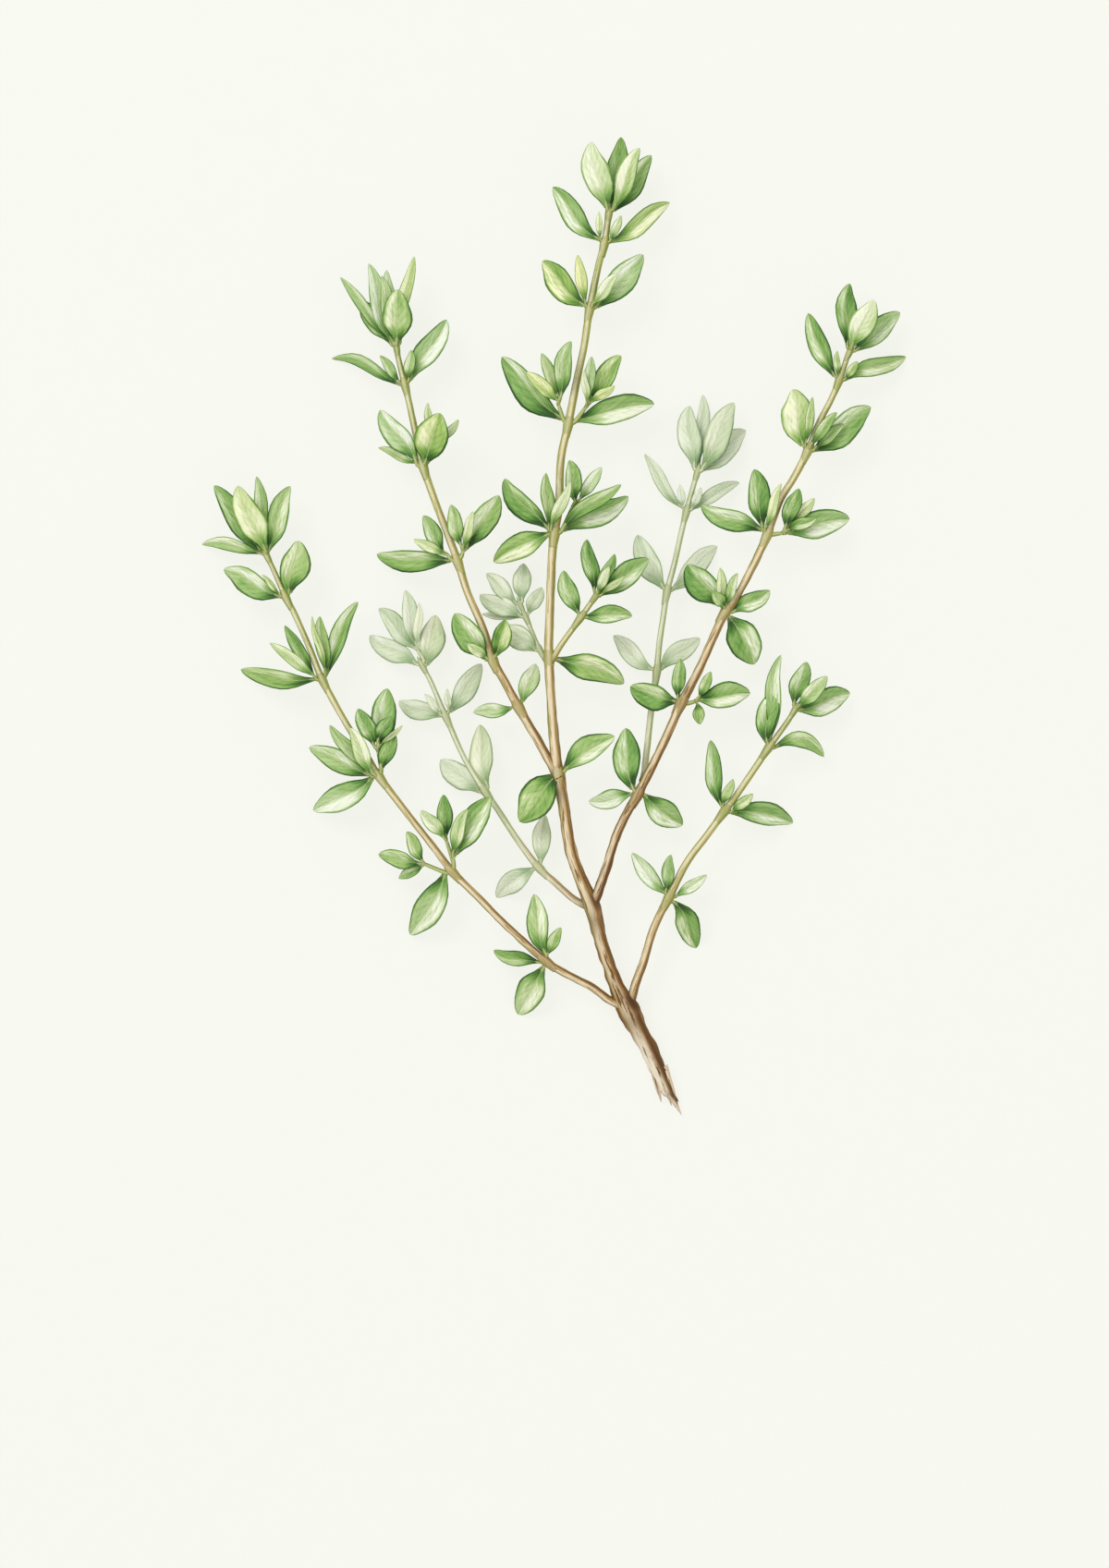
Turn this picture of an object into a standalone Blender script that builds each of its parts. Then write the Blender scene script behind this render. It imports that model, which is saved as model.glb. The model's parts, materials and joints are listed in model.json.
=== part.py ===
"""A cut sprig of thyme lying on a flat surface.

A short woody base forks into nine stems. Leaves stand on the stems in whorls: a swollen ring of
stem tissue (the collar) with its leaves and leaf stalks, and a bud with a leaf tuft at each stem's
end. Each stem is one solid, and each whorl with its collar is one solid.

Axes: +Y runs from the cut end to the tips, +X to the right, +Z up from the surface. The tables
below are in millimetres, measured from the middle of the sprig, with Z = 0 on the surface.
"""

import math

import bmesh
import bpy
from mathutils import Matrix, Vector

MM = 0.001

# Driving dimensions, millimetres
CLEARANCE = 0.05          # gap between a whorl's collar and its stem, and between joined stems
COLLAR_HALF_LENGTH = 0.55
COLLAR_SWELL = 0.34       # how far a collar stands out from its stem
BUD_LENGTH = 0.9          # how far the bud reaches past its stem's end
STALK_RADIUS = 0.17       # half thickness of a leaf stalk
TWIG_RADIUS = 0.27        # a side shoot that carries several leaves
RIB_HALF_THICKNESS = 0.17 # half thickness of a leaf along its midrib
LEAF_ARCH = 0.07          # rise of a leaf's middle, as a fraction of its length
LEAF_FOLD = 20.0          # degrees that each half of a leaf rises from its midrib
TUBE_RESOLUTION = 1       # six-sided stems
STALK_STEP = 0.035        # stalks on one side shoot start this far above each other

# Leaf outline: place along the leaf (-1 to 0 is the stalk, 0 to 1 the blade) and share of width
LEAF_STATIONS = ((-1.0, 1.0), (-0.5, 1.0), (0.0, 1.0), (0.32, 0.92), (0.7, 0.8))

# Colours and roughness of the kinds of tissue
TISSUES = {
    "bark": ((0.36, 0.22, 0.11), 0.85),
    "stem": ((0.48, 0.40, 0.20), 0.75),
    "pale_stem": ((0.60, 0.63, 0.42), 0.75),
    "leaf": ((0.20, 0.36, 0.12), 0.55),
    "pale_leaf": ((0.42, 0.53, 0.36), 0.6),
}

# Stems: what they grow from, their tissue, and their route as (x, y, z, diameter)
STEMS = {
    "main_stem": (None, "bark", (
        (12.2, -50.0, 1.00, 2.00), (10.8, -47.0, 1.15, 2.10), (9.3, -43.9, 1.45, 2.20),
        (8.0, -41.2, 1.90, 2.40), (6.5, -38.1, 2.50, 1.65), (5.2, -34.4, 3.30, 1.50),
        (4.0, -30.0, 4.10, 1.80), (2.7, -26.9, 4.50, 1.40), (1.7, -23.8, 4.80, 1.35),
        (1.0, -19.2, 5.10, 1.30), (0.4, -15.8, 5.30, 1.35), (-0.2, -10.1, 5.60, 1.10),
        (-0.6, -3.1, 5.80, 1.05), (-0.55, 0.6, 5.90, 1.00), (-0.3, 7.2, 6.00, 0.96),
        (0.0, 10.2, 6.10, 1.00), (0.5, 13.4, 6.10, 0.93), (0.7, 18.2, 6.20, 0.90),
        (1.5, 22.1, 6.20, 0.92), (2.45, 27.0, 6.20, 0.86), (3.2, 30.5, 6.10, 0.82),
        (3.8, 34.5, 6.00, 0.84), (4.8, 39.4, 5.80, 0.76), (5.4, 41.6, 5.70, 0.80),
        (5.9, 45.0, 5.60, 0.70))),
    "low_left_stem": ("main_stem", "stem", (
        (8.0, -41.2, 1.90, 1.00), (6.0, -40.3, 2.30, 0.95), (4.0, -38.9, 2.60, 0.90),
        (0.5, -37.0, 3.20, 0.86), (-1.0, -36.0, 3.45, 0.90), (-5.1, -32.3, 4.10, 0.82),
        (-7.9, -29.5, 4.40, 0.82), (-11.1, -26.3, 4.70, 0.86), (-13.0, -23.8, 4.85, 0.80),
        (-15.9, -20.1, 4.95, 0.78), (-19.0, -16.0, 5.00, 0.84), (-20.5, -13.5, 5.00, 0.76),
        (-22.6, -10.2, 5.00, 0.74), (-25.1, -5.6, 5.00, 0.78), (-26.6, -1.9, 4.95, 0.70),
        (-28.1, 1.5, 4.90, 0.68), (-29.1, 3.4, 4.90, 0.70), (-30.3, 6.1, 4.85, 0.60),
        (-31.2, 8.0, 4.80, 0.56))),
    "low_right_stem": ("main_stem", "stem", (
        (8.1, -41.0, 1.90, 1.05), (8.8, -38.5, 2.50, 1.00), (9.8, -35.6, 3.10, 0.95),
        (10.8, -32.4, 3.60, 0.90), (12.4, -29.1, 4.05, 0.94), (14.3, -25.4, 4.40, 0.84),
        (16.5, -22.4, 4.60, 0.82), (18.4, -19.8, 4.70, 0.86), (20.3, -17.2, 4.70, 0.76),
        (23.2, -12.9, 4.60, 0.78), (24.0, -11.8, 4.50, 0.68), (25.3, -10.0, 4.40, 0.62),
        (26.1, -8.7, 4.30, 0.56))),
    "tall_right_stem": ("main_stem", "stem", (
        (4.0, -30.2, 4.10, 1.10), (4.9, -28.0, 4.35, 1.10), (6.9, -22.0, 5.00, 1.00),
        (9.0, -18.0, 5.45, 1.04), (10.5, -15.1, 5.60, 0.98), (11.7, -12.6, 5.70, 1.00),
        (13.7, -8.1, 5.80, 1.08), (15.6, -4.5, 5.90, 0.96), (17.3, -0.7, 5.90, 0.95),
        (18.5, 1.8, 5.90, 1.00), (19.8, 3.6, 5.90, 0.90), (21.6, 7.0, 5.85, 0.88),
        (23.0, 10.1, 5.80, 0.92), (24.4, 13.8, 5.65, 0.84), (25.9, 16.3, 5.50, 0.82),
        (27.4, 19.2, 5.40, 0.84), (28.6, 22.2, 5.20, 0.74), (29.9, 24.7, 5.10, 0.70),
        (30.8, 26.8, 5.00, 0.70), (31.6, 29.1, 4.90, 0.60), (32.0, 30.0, 4.80, 0.56))),
    "tall_left_stem": ("main_stem", "stem", (
        (0.5, -16.2, 5.30, 1.05), (-1.5, -12.7, 5.40, 1.00), (-3.9, -8.5, 5.40, 1.02),
        (-5.4, -5.7, 5.40, 0.96), (-6.7, -3.4, 5.40, 1.00), (-7.7, -0.1, 5.40, 0.90),
        (-9.4, 3.8, 5.40, 0.86), (-10.5, 7.3, 5.40, 0.90), (-11.6, 10.3, 5.40, 0.84),
        (-12.8, 13.4, 5.30, 0.82), (-14.2, 17.5, 5.20, 0.86), (-15.0, 21.0, 5.00, 0.76),
        (-15.7, 24.3, 4.90, 0.72), (-16.2, 26.4, 4.80, 0.74), (-16.9, 29.3, 4.70, 0.62),
        (-17.1, 30.5, 4.60, 0.58))),
    "pale_left_stem": ("main_stem", "pale_stem", (
        (3.9, -30.1, 4.00, 0.90), (2.5, -29.6, 3.55, 0.86), (1.0, -28.4, 3.20, 0.84),
        (-1.7, -25.9, 3.00, 0.86), (-4.0, -22.9, 3.00, 0.78), (-6.1, -19.7, 3.00, 0.76),
        (-7.5, -17.7, 3.00, 0.80), (-9.8, -14.0, 3.00, 0.68), (-11.8, -9.5, 3.00, 0.70),
        (-13.4, -5.8, 3.00, 0.60), (-14.4, -3.9, 3.00, 0.58))),
    "pale_right_stem": ("tall_right_stem", "pale_stem", (
        (9.65, -16.6, 5.40, 0.84), (9.8, -15.2, 3.90, 0.82), (10.0, -13.1, 3.20, 0.80),
        (10.6, -8.0, 3.00, 0.78), (11.1, -4.6, 3.00, 0.80), (11.35, -1.8, 3.00, 0.74),
        (11.8, 1.3, 3.00, 0.72), (12.2, 4.0, 3.00, 0.76), (13.0, 7.1, 3.00, 0.70),
        (14.3, 12.7, 3.00, 0.70), (15.5, 17.0, 3.00, 0.62))),
    "small_right_stem": ("main_stem", "stem", (
        (-0.6, -4.0, 5.80, 0.66), (0.8, -1.7, 6.25, 0.66), (2.8, 1.1, 6.40, 0.66),
        (4.5, 3.5, 6.30, 0.56))),
    "small_left_stem": ("main_stem", "pale_stem", (
        (-0.6, -4.0, 5.80, 0.56), (-1.6, -2.3, 4.60, 0.54), (-3.1, 1.2, 3.40, 0.50),
        (-3.7, 2.6, 3.20, 0.46))),
}

# Torn wood at the cut end: a long splinter and a short one, as (x, y, z, diameter)
SPLINTERS = (
    ((11.9, -48.9, 1.00, 1.50), (12.7, -50.9, 0.90, 0.90), (13.3, -52.0, 0.70, 0.50),
     (13.8, -52.8, 0.60, 0.12)),
    ((11.7, -49.0, 1.20, 1.20), (11.6, -50.6, 1.20, 0.60), (11.5, -51.4, 1.10, 0.12)),
)

# Whorls, from the base of each stem to its tip: node, (side shoots), (leaves).
# A side shoot is (x, y, z) points after the node; its leaves start at its last point.
# A leaf is foot, tip, width, roll in degrees, sideways bow as a fraction of its length, and the
# number of the side shoot that it grows on (0 for the stem itself).
WHORLS = {
    "main_stem": (
        ((0.4, -15.8), (), (
            ((0.0, -16.0, 5.6), (-3.8, -20.9, 5.4), 3.1, 12, 0.00, 0),
            ((1.1, -14.9, 5.7), (6.5, -11.7, 6.0), 2.6, -15, 0.05, 0))),
        ((-0.6, -3.1), (), (
            ((1.0, -3.3, 5.6), (7.5, -6.0, 3.6), 2.7, 10, 0.05, 0),)),
        ((0.0, 10.2), ((2.0, 13.2, 6.5),), (
            ((-1.1, 12.0, 6.2), (-5.4, 16.2, 4.2), 2.3, -15, 0.05, 0),
            ((-1.1, 12.5, 6.9), (-0.9, 16.7, 8.0), 1.4, 20, 0.00, 0),
            ((-0.6, 11.8, 7.2), (1.7, 15.7, 8.8), 1.2, 0, 0.00, 0),
            ((-0.9, 10.2, 6.0), (-6.6, 7.2, 3.4), 2.6, 10, -0.04, 0),
            ((2.4, 14.0, 6.9), (1.6, 18.1, 7.8), 1.7, 10, 0.00, 1),
            ((3.2, 14.4, 6.4), (5.1, 17.4, 6.2), 1.3, 0, 0.00, 1),
            ((1.9, 11.8, 6.5), (7.2, 15.5, 6.8), 1.5, 0, 0.04, 0),
            ((1.6, 11.4, 5.8), (8.0, 14.3, 3.6), 2.5, 10, 0.00, 0))),
        ((1.5, 22.1), ((0.4, 24.2, 6.8), (3.4, 23.9, 6.4)), (
            ((0.2, 23.5, 6.2), (-5.7, 29.4, 4.4), 2.8, -15, 0.04, 0),
            ((0.4, 24.8, 7.2), (-3.1, 27.6, 7.6), 1.4, 0, 0.00, 1),
            ((0.5, 25.7, 7.0), (-1.4, 29.7, 7.0), 1.3, 10, 0.00, 1),
            ((0.9, 25.7, 7.4), (1.8, 30.9, 8.4), 1.8, 0, 0.05, 1),
            ((3.9, 24.9, 6.9), (4.0, 29.3, 7.4), 1.3, 0, 0.04, 2),
            ((4.4, 25.4, 6.2), (7.2, 29.5, 5.2), 2.0, -10, 0.00, 2),
            ((4.3, 24.7, 6.6), (6.5, 26.2, 7.0), 1.0, 0, 0.00, 2),
            ((3.5, 24.6, 7.2), (3.2, 27.8, 8.0), 0.8, 0, 0.00, 2),
            ((3.5, 23.1, 5.9), (10.8, 24.3, 3.7), 2.7, 12, 0.03, 0))),
        ((3.8, 34.5), (), (
            ((3.0, 35.1, 6.1), (-1.3, 39.8, 4.2), 2.6, -12, 0.03, 0),
            ((4.7, 35.1, 6.0), (9.6, 40.5, 4.0), 2.8, 10, 0.00, 0),
            ((3.1, 36.4, 6.7), (2.5, 40.3, 7.0), 1.2, 0, 0.00, 0),
            ((4.4, 36.0, 7.0), (6.9, 38.3, 7.6), 1.3, 0, 0.00, 0))),
        ((5.4, 41.6), (), (
            ((4.5, 42.3, 5.8), (-0.2, 47.9, 2.6), 2.2, -12, 0.04, 0),
            ((6.3, 41.9, 5.7), (12.5, 46.2, 2.4), 1.9, 10, 0.00, 0),
            ((4.7, 42.8, 6.2), (4.8, 45.0, 6.9), 0.7, 0, 0.00, 0),
            ((6.5, 42.5, 6.2), (7.2, 44.6, 6.6), 0.9, 0, 0.00, 0))),
        ((5.9, 45.0), (), (
            ((5.6, 46.0, 6.3), (4.0, 52.5, 6.8), 2.9, -10, 0.04, 0),
            ((6.1, 45.8, 5.4), (7.2, 53.2, 4.2), 2.2, 0, 0.00, 0),
            ((6.4, 45.6, 6.0), (9.2, 51.9, 6.2), 2.0, 0, 0.00, 0),
            ((6.5, 45.3, 5.2), (10.5, 51.3, 3.2), 2.2, 12, 0.00, 0))),
    ),
    "low_left_stem": (
        ((-1.0, -36.0), (), (
            ((-1.5, -34.6, 3.9), (-2.2, -28.8, 3.6), 2.2, 0, 0.04, 0),
            ((-0.6, -34.9, 3.9), (0.7, -32.4, 4.3), 1.2, 0, 0.00, 0),
            ((-2.1, -36.2, 3.0), (-6.6, -34.9, 1.6), 1.5, 0, 0.06, 0),
            ((-1.5, -37.2, 3.2), (-4.0, -41.9, 0.0), 2.9, 10, 0.00, 0))),
        ((-11.1, -26.3), ((-14.1, -25.5, 4.5), (-11.0, -24.7, 5.3), (-11.7, -22.9, 5.6)), (
            ((-14.8, -25.4, 4.4), (-19.1, -24.5, 2.6), 1.7, 0, 0.00, 1),
            ((-14.4, -25.0, 4.8), (-16.0, -22.0, 5.2), 1.4, 0, 0.00, 1),
            ((-14.4, -25.9, 4.3), (-16.9, -27.1, 2.8), 1.1, 0, 0.00, 1),
            ((-12.5, -27.2, 4.2), (-15.7, -33.2, 0.9), 3.0, 10, 0.04, 0),
            ((-11.8, -22.3, 5.6), (-12.0, -18.0, 5.2), 1.6, 0, 0.00, 3),
            ((-12.1, -22.5, 6.1), (-14.4, -19.7, 6.8), 1.5, 0, 0.00, 3),
            ((-11.0, -24.1, 5.8), (-9.4, -19.6, 6.4), 1.4, 0, 0.04, 2),
            ((-10.5, -24.2, 5.1), (-7.0, -18.3, 5.0), 2.8, -12, 0.03, 2))),
        ((-19.0, -16.0), ((-19.1, -13.2, 5.7),), (
            ((-20.0, -16.5, 4.8), (-26.2, -19.7, 1.6), 2.7, 10, 0.03, 0),
            ((-21.9, -14.9, 4.9), (-26.6, -12.9, 3.2), 2.2, -10, 0.00, 0),
            ((-22.6, -13.7, 5.3), (-24.3, -10.5, 5.4), 1.4, 0, 0.00, 0),
            ((-20.7, -14.6, 6.2), (-22.1, -10.8, 7.2), 1.7, 0, 0.00, 0),
            ((-19.9, -12.2, 5.9), (-21.2, -8.7, 6.0), 1.8, 0, 0.00, 1),
            ((-18.9, -12.7, 5.0), (-18.1, -6.5, 4.0), 2.6, 10, 0.00, 1),
            ((-19.1, -11.4, 6.3), (-17.6, -9.5, 6.8), 1.6, 0, 0.00, 1),
            ((-18.7, -12.3, 6.0), (-16.4, -10.5, 6.2), 0.6, 0, 0.00, 1),
            ((-18.6, -14.5, 5.6), (-17.3, -11.4, 5.8), 1.6, 0, 0.00, 0))),
        ((-25.1, -5.6), (), (
            ((-26.3, -5.1, 4.9), (-34.1, -4.4, 0.0), 1.8, 0, 0.05, 0),
            ((-27.1, -3.6, 5.5), (-30.8, -1.6, 5.8), 1.2, 0, 0.00, 0),
            ((-27.5, -2.9, 5.0), (-29.2, 0.3, 4.8), 1.3, 0, 0.00, 0),
            ((-24.8, -3.4, 5.1), (-25.4, 1.3, 4.9), 1.5, 0, 0.00, 0),
            ((-25.3, -2.8, 5.6), (-26.2, 1.3, 5.9), 0.7, 0, 0.00, 0),
            ((-24.4, -4.7, 4.9), (-21.3, 2.9, 2.6), 1.7, 10, 0.05, 0))),
        ((-29.1, 3.4), (), (
            ((-30.0, 3.8, 4.8), (-35.9, 6.4, 2.2), 2.5, -10, 0.00, 0),
            ((-28.6, 4.0, 4.9), (-27.8, 9.5, 4.0), 3.0, 8, 0.00, 0),
            ((-30.3, 4.6, 5.3), (-31.6, 5.8, 5.7), 0.6, 0, 0.00, 0))),
        ((-31.2, 8.0), (), (
            ((-31.9, 9.0, 4.6), (-36.9, 15.5, 3.0), 2.2, -10, 0.00, 0),
            ((-31.5, 9.1, 5.4), (-34.2, 15.4, 6.0), 2.8, 0, 0.04, 0),
            ((-31.3, 9.0, 4.4), (-32.3, 16.5, 3.2), 1.5, 0, 0.00, 0),
            ((-30.8, 8.7, 4.8), (-28.6, 15.4, 3.8), 2.1, 10, 0.04, 0),
            ((-32.0, 8.2, 4.6), (-38.3, 9.2, 0.6), 1.3, 0, -0.05, 0))),
    ),
    "low_right_stem": (
        ((12.4, -29.1), (), (
            ((11.9, -28.5, 4.1), (8.4, -24.3, 3.4), 1.7, 0, 0.04, 0),
            ((12.2, -27.6, 4.6), (12.6, -24.5, 4.9), 1.3, 0, 0.00, 0),
            ((13.4, -28.6, 4.1), (16.5, -26.7, 3.6), 1.2, 0, 0.00, 0),
            ((13.4, -29.7, 3.9), (15.4, -34.7, 0.0), 2.4, 8, 0.04, 0))),
        ((18.4, -19.8), (), (
            ((17.9, -18.9, 4.7), (16.9, -12.1, 3.8), 1.7, 0, 0.03, 0),
            ((18.4, -18.5, 5.2), (19.3, -16.3, 5.4), 1.0, 0, 0.00, 0),
            ((19.8, -19.3, 4.8), (21.5, -17.9, 4.6), 1.1, 0, 0.00, 0),
            ((19.3, -20.1, 4.6), (25.9, -21.1, 0.0), 2.4, 10, 0.06, 0))),
        ((23.2, -12.9), (), (
            ((22.8, -12.2, 4.6), (23.9, -6.5, 4.0), 2.0, 0, 0.04, 0),
            ((23.4, -11.6, 5.2), (24.4, -2.9, 5.0), 1.7, 0, 0.05, 0),
            ((24.1, -12.7, 4.3), (29.2, -13.9, 2.6), 1.6, 0, 0.25, 0))),
        ((26.1, -8.7), (), (
            ((26.3, -7.8, 4.3), (27.3, -3.6, 3.4), 1.9, 0, 0.00, 0),
            ((26.5, -8.3, 4.9), (29.5, -5.2, 5.4), 1.7, 0, 0.00, 0),
            ((26.7, -8.9, 4.1), (32.1, -7.0, 1.4), 2.6, 10, 0.00, 0))),
    ),
    "tall_right_stem": (
        ((9.0, -18.0), (), (
            ((8.2, -17.1, 5.9), (7.7, -10.8, 5.0), 2.8, -8, 0.04, 0),
            ((9.9, -18.3, 5.2), (13.9, -21.3, 3.0), 2.7, 8, -0.05, 0),
            ((8.0, -17.9, 5.2), (3.7, -18.7, 3.8), 1.9, 0, 0.06, 0))),
        ((13.7, -8.1), ((15.2, -7.9, 5.6),), (
            ((12.9, -7.8, 5.6), (8.2, -6.3, 4.8), 2.6, -10, 0.04, 0),
            ((13.3, -6.9, 6.4), (13.6, -3.3, 6.6), 1.4, 0, 0.00, 0),
            ((15.9, -7.1, 6.0), (16.9, -4.7, 6.4), 1.1, 0, 0.00, 1),
            ((15.9, -7.6, 5.5), (21.2, -7.0, 4.0), 2.6, 0, 0.00, 1),
            ((15.6, -8.3, 5.4), (15.8, -10.4, 4.8), 1.2, 0, 0.00, 1))),
        ((18.5, 1.8), (), (
            ((17.7, 2.7, 5.8), (14.4, 6.9, 4.6), 3.0, -10, 0.00, 0),
            ((18.2, 2.5, 7.1), (17.1, 3.9, 7.6), 1.3, 0, 0.00, 0),
            ((18.2, 3.4, 6.4), (17.9, 6.5, 6.8), 1.1, 0, 0.00, 0),
            ((18.9, 3.6, 6.8), (19.8, 5.9, 7.3), 1.0, 0, 0.00, 0),
            ((19.6, 2.0, 5.8), (23.3, 4.1, 5.0), 1.9, 0, 0.00, 0),
            ((19.0, 1.0, 5.7), (21.6, -3.9, 4.0), 3.4, 8, 0.04, 0))),
        ((23.0, 10.1), ((24.7, 10.3, 5.7),), (
            ((22.0, 10.7, 5.6), (15.9, 13.3, 4.6), 2.1, 0, 0.03, 0),
            ((22.2, 12.8, 6.1), (21.6, 17.2, 5.4), 2.3, 0, 0.00, 0),
            ((22.8, 11.9, 6.8), (24.5, 15.6, 7.4), 1.0, 0, 0.00, 0),
            ((25.2, 11.5, 6.1), (26.4, 15.1, 6.0), 1.7, 0, 0.00, 1),
            ((26.1, 12.0, 5.7), (28.1, 14.1, 5.4), 1.2, 0, 0.00, 1),
            ((25.5, 10.8, 6.0), (28.3, 11.9, 6.2), 1.2, 0, 0.00, 1),
            ((25.6, 10.4, 5.3), (32.0, 11.9, 2.8), 2.8, 10, 0.03, 1))),
        ((27.4, 19.2), (), (
            ((26.7, 20.0, 5.4), (25.8, 25.9, 4.2), 3.2, -8, 0.00, 0),
            ((27.5, 22.2, 6.2), (27.9, 25.0, 6.0), 0.9, 0, 0.00, 0),
            ((28.4, 21.4, 6.4), (30.5, 23.3, 6.8), 1.2, 0, 0.00, 0),
            ((28.8, 20.6, 5.7), (31.3, 22.1, 5.4), 1.2, 0, 0.00, 0),
            ((28.2, 19.8, 5.2), (34.3, 24.0, 3.0), 2.8, 10, 0.00, 0))),
        ((30.8, 26.8), (), (
            ((29.9, 27.4, 4.9), (27.5, 34.2, 3.0), 2.0, -8, 0.04, 0),
            ((31.6, 26.9, 4.9), (38.2, 29.6, 0.0), 1.8, 8, 0.03, 0),
            ((30.5, 27.9, 5.6), (30.6, 30.0, 5.9), 0.7, 0, 0.00, 0),
            ((31.8, 27.4, 5.2), (32.8, 28.9, 5.3), 0.9, 0, 0.00, 0))),
        ((32.0, 30.0), (), (
            ((31.7, 31.0, 4.7), (32.0, 37.4, 3.2), 2.2, 0, 0.04, 0),
            ((32.3, 30.9, 5.3), (34.5, 35.5, 5.8), 2.6, 0, 0.00, 0),
            ((32.9, 30.4, 4.6), (37.5, 34.3, 2.2), 2.2, 8, 0.00, 0))),
    ),
    "tall_left_stem": (
        ((-3.9, -8.5), (), (
            ((-3.2, -7.9, 5.0), (-2.1, -3.8, 3.2), 1.9, 0, 0.00, 0),
            ((-4.8, -8.8, 5.0), (-8.8, -9.1, 3.2), 1.5, 0, 0.00, 0))),
        ((-6.7, -3.4), (), (
            ((-7.6, -2.7, 5.5), (-10.8, 1.6, 5.0), 2.8, -12, 0.00, 0),
            ((-7.7, -2.9, 6.2), (-9.4, -1.7, 6.9), 1.1, 0, 0.00, 0),
            ((-6.0, -3.1, 6.2), (-5.3, 0.9, 6.8), 2.0, 10, 0.00, 0))),
        ((-10.5, 7.3), ((-11.6, 8.0, 5.7), (-9.9, 8.4, 5.8)), (
            ((-11.5, 7.1, 5.3), (-19.3, 8.1, 1.2), 2.2, -8, 0.03, 0),
            ((-12.2, 7.9, 6.0), (-15.2, 9.6, 6.3), 1.1, 0, 0.00, 1),
            ((-12.4, 8.4, 5.6), (-14.2, 12.2, 4.8), 1.7, 0, 0.00, 1),
            ((-10.3, 9.5, 6.5), (-11.2, 13.3, 7.2), 1.6, 0, 0.00, 2),
            ((-9.9, 9.1, 6.4), (-8.8, 12.6, 7.0), 1.0, 0, 0.00, 2),
            ((-9.4, 8.7, 5.5), (-6.0, 14.4, 4.2), 2.6, 10, 0.00, 2))),
        ((-14.2, 17.5), ((-13.1, 19.2, 5.9),), (
            ((-15.7, 20.3, 5.3), (-18.9, 23.7, 3.4), 2.4, -10, 0.00, 0),
            ((-15.4, 18.9, 5.1), (-19.1, 19.6, 3.2), 0.9, 0, 0.00, 0),
            ((-13.6, 21.1, 5.5), (-13.7, 24.4, 5.4), 0.9, 0, 0.00, 1),
            ((-13.7, 18.0, 6.4), (-12.4, 23.2, 7.4), 3.4, 0, 0.00, 0),
            ((-11.8, 20.6, 5.3), (-10.4, 22.6, 5.0), 0.9, 0, 0.00, 1))),
        ((-16.2, 26.4), (), (
            ((-17.0, 26.3, 4.8), (-24.2, 29.4, 0.0), 1.2, 0, -0.08, 0),
            ((-17.2, 27.3, 5.1), (-18.9, 29.5, 5.0), 1.0, 0, 0.00, 0),
            ((-15.6, 27.3, 5.2), (-15.5, 30.1, 5.5), 1.1, 0, 0.00, 0),
            ((-15.2, 27.3, 4.6), (-11.7, 33.5, 2.8), 2.4, 8, 0.00, 0))),
        ((-17.1, 30.5), (), (
            ((-17.1, 31.5, 5.5), (-16.9, 36.6, 6.6), 3.0, 0, 0.00, 0),
            ((-18.0, 31.3, 4.4), (-21.0, 35.6, 2.4), 2.2, -10, 0.00, 0),
            ((-18.6, 33.2, 4.3), (-23.2, 38.1, 3.0), 1.2, 0, 0.00, 0),
            ((-17.6, 31.8, 4.9), (-20.1, 39.5, 4.2), 1.8, 0, 0.03, 0),
            ((-18.0, 33.6, 5.6), (-18.7, 38.1, 5.8), 1.4, 0, 0.00, 0),
            ((-17.3, 32.4, 4.1), (-18.2, 38.9, 2.8), 1.5, 0, 0.00, 0),
            ((-16.5, 33.6, 4.6), (-15.2, 40.3, 3.8), 1.3, 0, 0.05, 0))),
    ),
    "pale_left_stem": (
        ((-1.7, -25.9), (), (
            ((-1.4, -25.1, 3.0), (-1.0, -20.2, 1.4), 1.9, 0, 0.03, 0),
            ((-2.5, -26.1, 2.8), (-6.3, -29.2, 0.0), 2.2, 0, -0.06, 0))),
        ((-7.5, -17.7), (), (
            ((-7.4, -16.8, 2.8), (-8.1, -10.4, 1.0), 2.4, 0, 0.03, 0),
            ((-8.4, -17.7, 2.5), (-12.4, -14.2, 0.0), 2.5, -8, 0.00, 0))),
        ((-11.8, -9.5), (), (
            ((-12.5, -9.4, 2.8), (-16.9, -7.8, 0.0), 2.0, 0, 0.03, 0),
            ((-12.7, -8.6, 3.3), (-14.1, -7.1, 3.5), 0.8, 0, 0.00, 0),
            ((-11.0, -8.9, 2.9), (-7.9, -3.8, 0.8), 2.2, 8, 0.00, 0),
            ((-11.3, -8.4, 3.5), (-11.6, -6.5, 3.8), 0.7, 0, 0.00, 0))),
        ((-14.4, -3.9), ((-14.9, -2.2, 3.0),), (
            ((-15.2, -3.8, 2.8), (-20.1, -0.7, 0.0), 2.2, -8, 0.00, 0),
            ((-15.3, -2.0, 2.8), (-19.1, 2.2, 1.0), 2.0, 0, 0.00, 1),
            ((-15.0, -1.5, 3.1), (-16.2, 4.2, 2.2), 1.7, 0, 0.00, 1),
            ((-14.7, -1.5, 3.4), (-14.7, 2.8, 3.8), 0.9, 0, 0.00, 1),
            ((-13.7, -4.0, 2.8), (-12.9, 1.5, 1.4), 2.6, 8, 0.00, 0))),
    ),
    "pale_right_stem": (
        ((11.1, -4.6), (), (
            ((10.4, -4.3, 2.8), (6.4, -0.7, 0.0), 1.9, 0, 0.04, 0),
            ((11.8, -4.3, 2.8), (15.8, -1.0, 1.0), 2.0, 0, 0.03, 0))),
        ((12.2, 4.0), (), (
            ((11.7, 4.6, 2.8), (9.0, 10.2, 1.2), 2.4, -8, 0.04, 0),
            ((12.9, 4.5, 2.8), (17.7, 9.0, 0.0), 2.2, 8, 0.00, 0))),
        ((14.3, 12.7), (), (
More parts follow.
